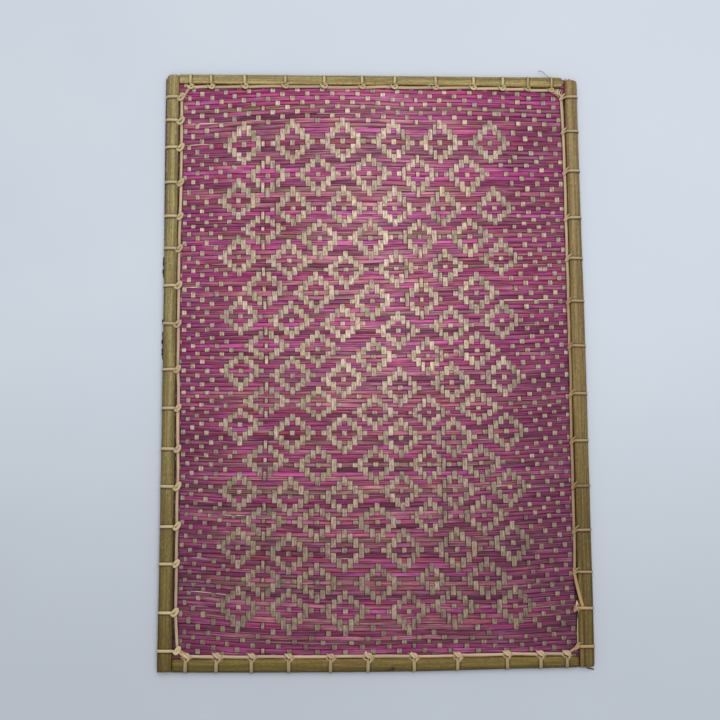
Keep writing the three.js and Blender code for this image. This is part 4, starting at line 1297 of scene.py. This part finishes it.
        # from the last knot of the top to the first of the right side, with split ends standing out
        free(((283.6, 7.2, 1.0), (286.4, 8.6, 0.9), (289.2, 10.4, 0.7), (291.8, 12.0, 1.0), (293.4, 13.4, 0.8)), 1.9, 0.7,
             (196, 168, 124), 0)
        free(((286.0, 10.2, 0.6), (288.8, 11.6, 0.8), (291.0, 13.8, 0.7)), 1.3, 0.5, (170, 136, 94), 1)
        free(((290.0, 10.6, 0.9), (289.4, 9.0, 1.3), (290.4, 7.6, 1.5)), 0.9, 0.35, (226, 208, 182), 2, taper=(0, 2.0))
        free(((291.2, 11.4, 0.9), (291.2, 9.4, 1.4), (292.4, 8.2, 1.5)), 0.8, 0.35, (216, 196, 170), 3, taper=(0, 2.0))
        free(((292.2, 12.0, 1.0), (293.0, 10.2, 1.3), (292.6, 8.8, 1.4)), 0.6, 0.3, (196, 150, 150), 4, taper=(0, 2.0))
        # a dark fibre past the rail
        free(((284.4, -0.8, 1.2), (282.8, -2.5, 0.9), (280.5, -4.9, 0.5), (278.8, -6.4, 0.2), (277.2, -6.9, 0.0),
              (275.7, -6.8, -0.1)), 0.34, 0.3, (84, 60, 66), 5)
        # a small hook beside the loop at 198
        free(((197.2, 5.6, 2.4), (194.6, 5.2, 2.3), (193.4, 6.6, 1.5), (194.2, 7.8, 1.1)), 0.9, 0.45, (206, 184, 140), 6, taper=(0, 1.5))
    if side == "bottom":
        # short ends standing above three of the knots
        free(((145.4, 420.4, 0.9), (144.6, 418.4, 0.8), (144.0, 416.9, 0.7)), 1.5, 0.5, (216, 192, 156), 0, taper=(0, 1.2))
        free(((177.4, 420.4, 0.9), (176.6, 418.9, 0.8), (176.0, 417.6, 0.7)), 1.4, 0.5, (206, 180, 142), 1, taper=(0, 1.2))
        free(((243.6, 420.4, 0.8), (245.0, 418.4, 0.7), (246.6, 417.0, 0.6)), 1.3, 0.5, (150, 118, 74), 2, taper=(0, 1.2))
    return sk


def rattan_material():
    m, nt, b = nodes_of("rattan strip")
    g = G(nt)
    col = g.attr("col").outputs["Color"]
    s, a, k = g.split(g.attr("suv").outputs["Vector"])
    fibre = g.noise(g.vec(g.math("MULTIPLY", s, 0.06), g.math("MULTIPLY", a, 3.4), g.math("MULTIPLY", k, 3.7)), 1.0, 4.0, 0.6)
    blot = g.noise(g.vec(g.math("MULTIPLY", s, 0.12), g.math("MULTIPLY", a, 0.5), g.math("MULTIPLY", k, 1.9)), 1.0, 3.0, 0.6)
    f = g.step(fibre, 0.3, 0.7, 0.78, 1.2)
    c = g.mix(1.0, col, g.vec(f, f, f), "MULTIPLY")
    c = g.mix(g.step(blot, 0.55, 0.75, 0.0, 0.5), c, g.mix(1.0, col, (0.74, 0.78, 0.62, 1), "MULTIPLY"))
    c = g.mix(g.step(blot, 0.44, 0.28, 0.0, 0.5), c, g.mix(1.0, col, (1.08, 0.86, 0.92, 1), "MULTIPLY"))
    nt.links.new(c, b.inputs["Base Color"])
    b.inputs["Roughness"].default_value = 0.45
    b.inputs["Specular IOR Level"].default_value = 0.4
    nt.links.new(g.bump(fibre, 0.4, 0.0002), b.inputs["Normal"])
    return m


RAIL_MAT = rail_material()
RATTAN_MAT = rattan_material()
RAIL_OBS, LASH_OBS = {}, {}
for i, side in enumerate(("left", "right", "top", "bottom")):
    RAIL_OBS[side] = rail_piece(side, 11 + 100 * i).build("rail_" + side + "_look", RAIL_MAT)
    LASH_OBS[side] = lashing(side, 21 + i).build("lashing_" + side + "_look", RATTAN_MAT)


# ---------------------------------------------------------------- floor, light, camera


def floor():
    me = bpy.data.meshes.new("floor")
    s = 9.0
    n = 8
    vs = [(-s + 2 * s * i / n, -s + 2 * s * j / n, 0.0) for j in range(n + 1) for i in range(n + 1)]
    fs = [(j * (n + 1) + i, j * (n + 1) + i + 1, (j + 1) * (n + 1) + i + 1, (j + 1) * (n + 1) + i)
          for j in range(n) for i in range(n)]
    me.from_pydata(vs, [], fs)
    ob = bpy.data.objects.new("floor", me)
    bpy.context.scene.collection.objects.link(ob)
    m, nt, b = nodes_of("pale floor")
    g = G(nt)
    tc = nt.nodes.new("ShaderNodeTexCoord")
    n1 = g.noise(tc.outputs["Object"], 9.0, 2.0, 0.5)
    c = g.mix(g.step(n1, 0.3, 0.7, 0.0, 1.0), (0.745, 0.80, 0.885, 1), (0.76, 0.815, 0.895, 1))
    x, y, z = g.split(tc.outputs["Object"])
    f = g.math("MULTIPLY", g.step(y, -0.24, 0.08, 0.80, 1.0), g.step(x, -0.25, 0.25, 0.98, 1.01))
    c = g.mix(1.0, c, g.vec(f, f, f), "MULTIPLY")  # painted shade: a little darker towards the front and the left, for the light falling off
    nt.links.new(c, b.inputs["Base Color"])
    b.inputs["Roughness"].default_value = 0.9
    b.inputs["Specular IOR Level"].default_value = 0.1
    me.materials.append(m)
    return ob


FLOOR = floor()


def area(name, loc, target, size, power, color=(1, 1, 1)):
    d = bpy.data.lights.new(name, "AREA")
    d.shape = "RECTANGLE"
    d.size, d.size_y = size
    d.energy = power
    d.color = color
    o = bpy.data.objects.new(name, d)
    o.location = loc
    o.rotation_euler = (Vector(target) - Vector(loc)).to_track_quat("-Z", "Y").to_euler()
    bpy.context.scene.collection.objects.link(o)
    return o


area("key", (0.14, 0.46, 1.4), (0.0, 0.06, 0.0), (1.4, 1.3), 10.1, (1.0, 0.99, 0.98))
area("fill", (0.1, -0.7, 1.4), (0.0, 0.0, 0.0), (1.6, 1.6), 4.6, (0.96, 0.98, 1.0))

world = bpy.data.worlds.new("studio")
bpy.context.scene.world = world
world.use_nodes = True
world.node_tree.nodes["Background"].inputs[0].default_value = (0.93, 0.965, 1.0, 1)
world.node_tree.nodes["Background"].inputs[1].default_value = 0.40

cam = bpy.data.cameras.new("camera")
cam.sensor_width = 36.0
cam.lens = 67.696
cam.clip_start = 0.05
cam.clip_end = 10
co = bpy.data.objects.new("camera", cam)
co.location = (-60.197 * MM, -136.492 * MM, 965.938 * MM)
co.rotation_euler = tuple(math.radians(a) for a in (8.25731, -2.79659, -0.29892))
bpy.context.scene.collection.objects.link(co)
bpy.context.scene.camera = co
bpy.context.scene.view_settings.view_transform = "Standard"
bpy.context.scene.view_settings.look = "None"

# ---------------------------------------------------------------- the frame's table
for ob in (W1, W2, W3):
    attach(ob, "root")
    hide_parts("panel")
for side in SIDES:
    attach(RAIL_OBS[side], "root")
    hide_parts("rail_" + side)
    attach(LASH_OBS[side], "root")
    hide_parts("lashing_" + side)
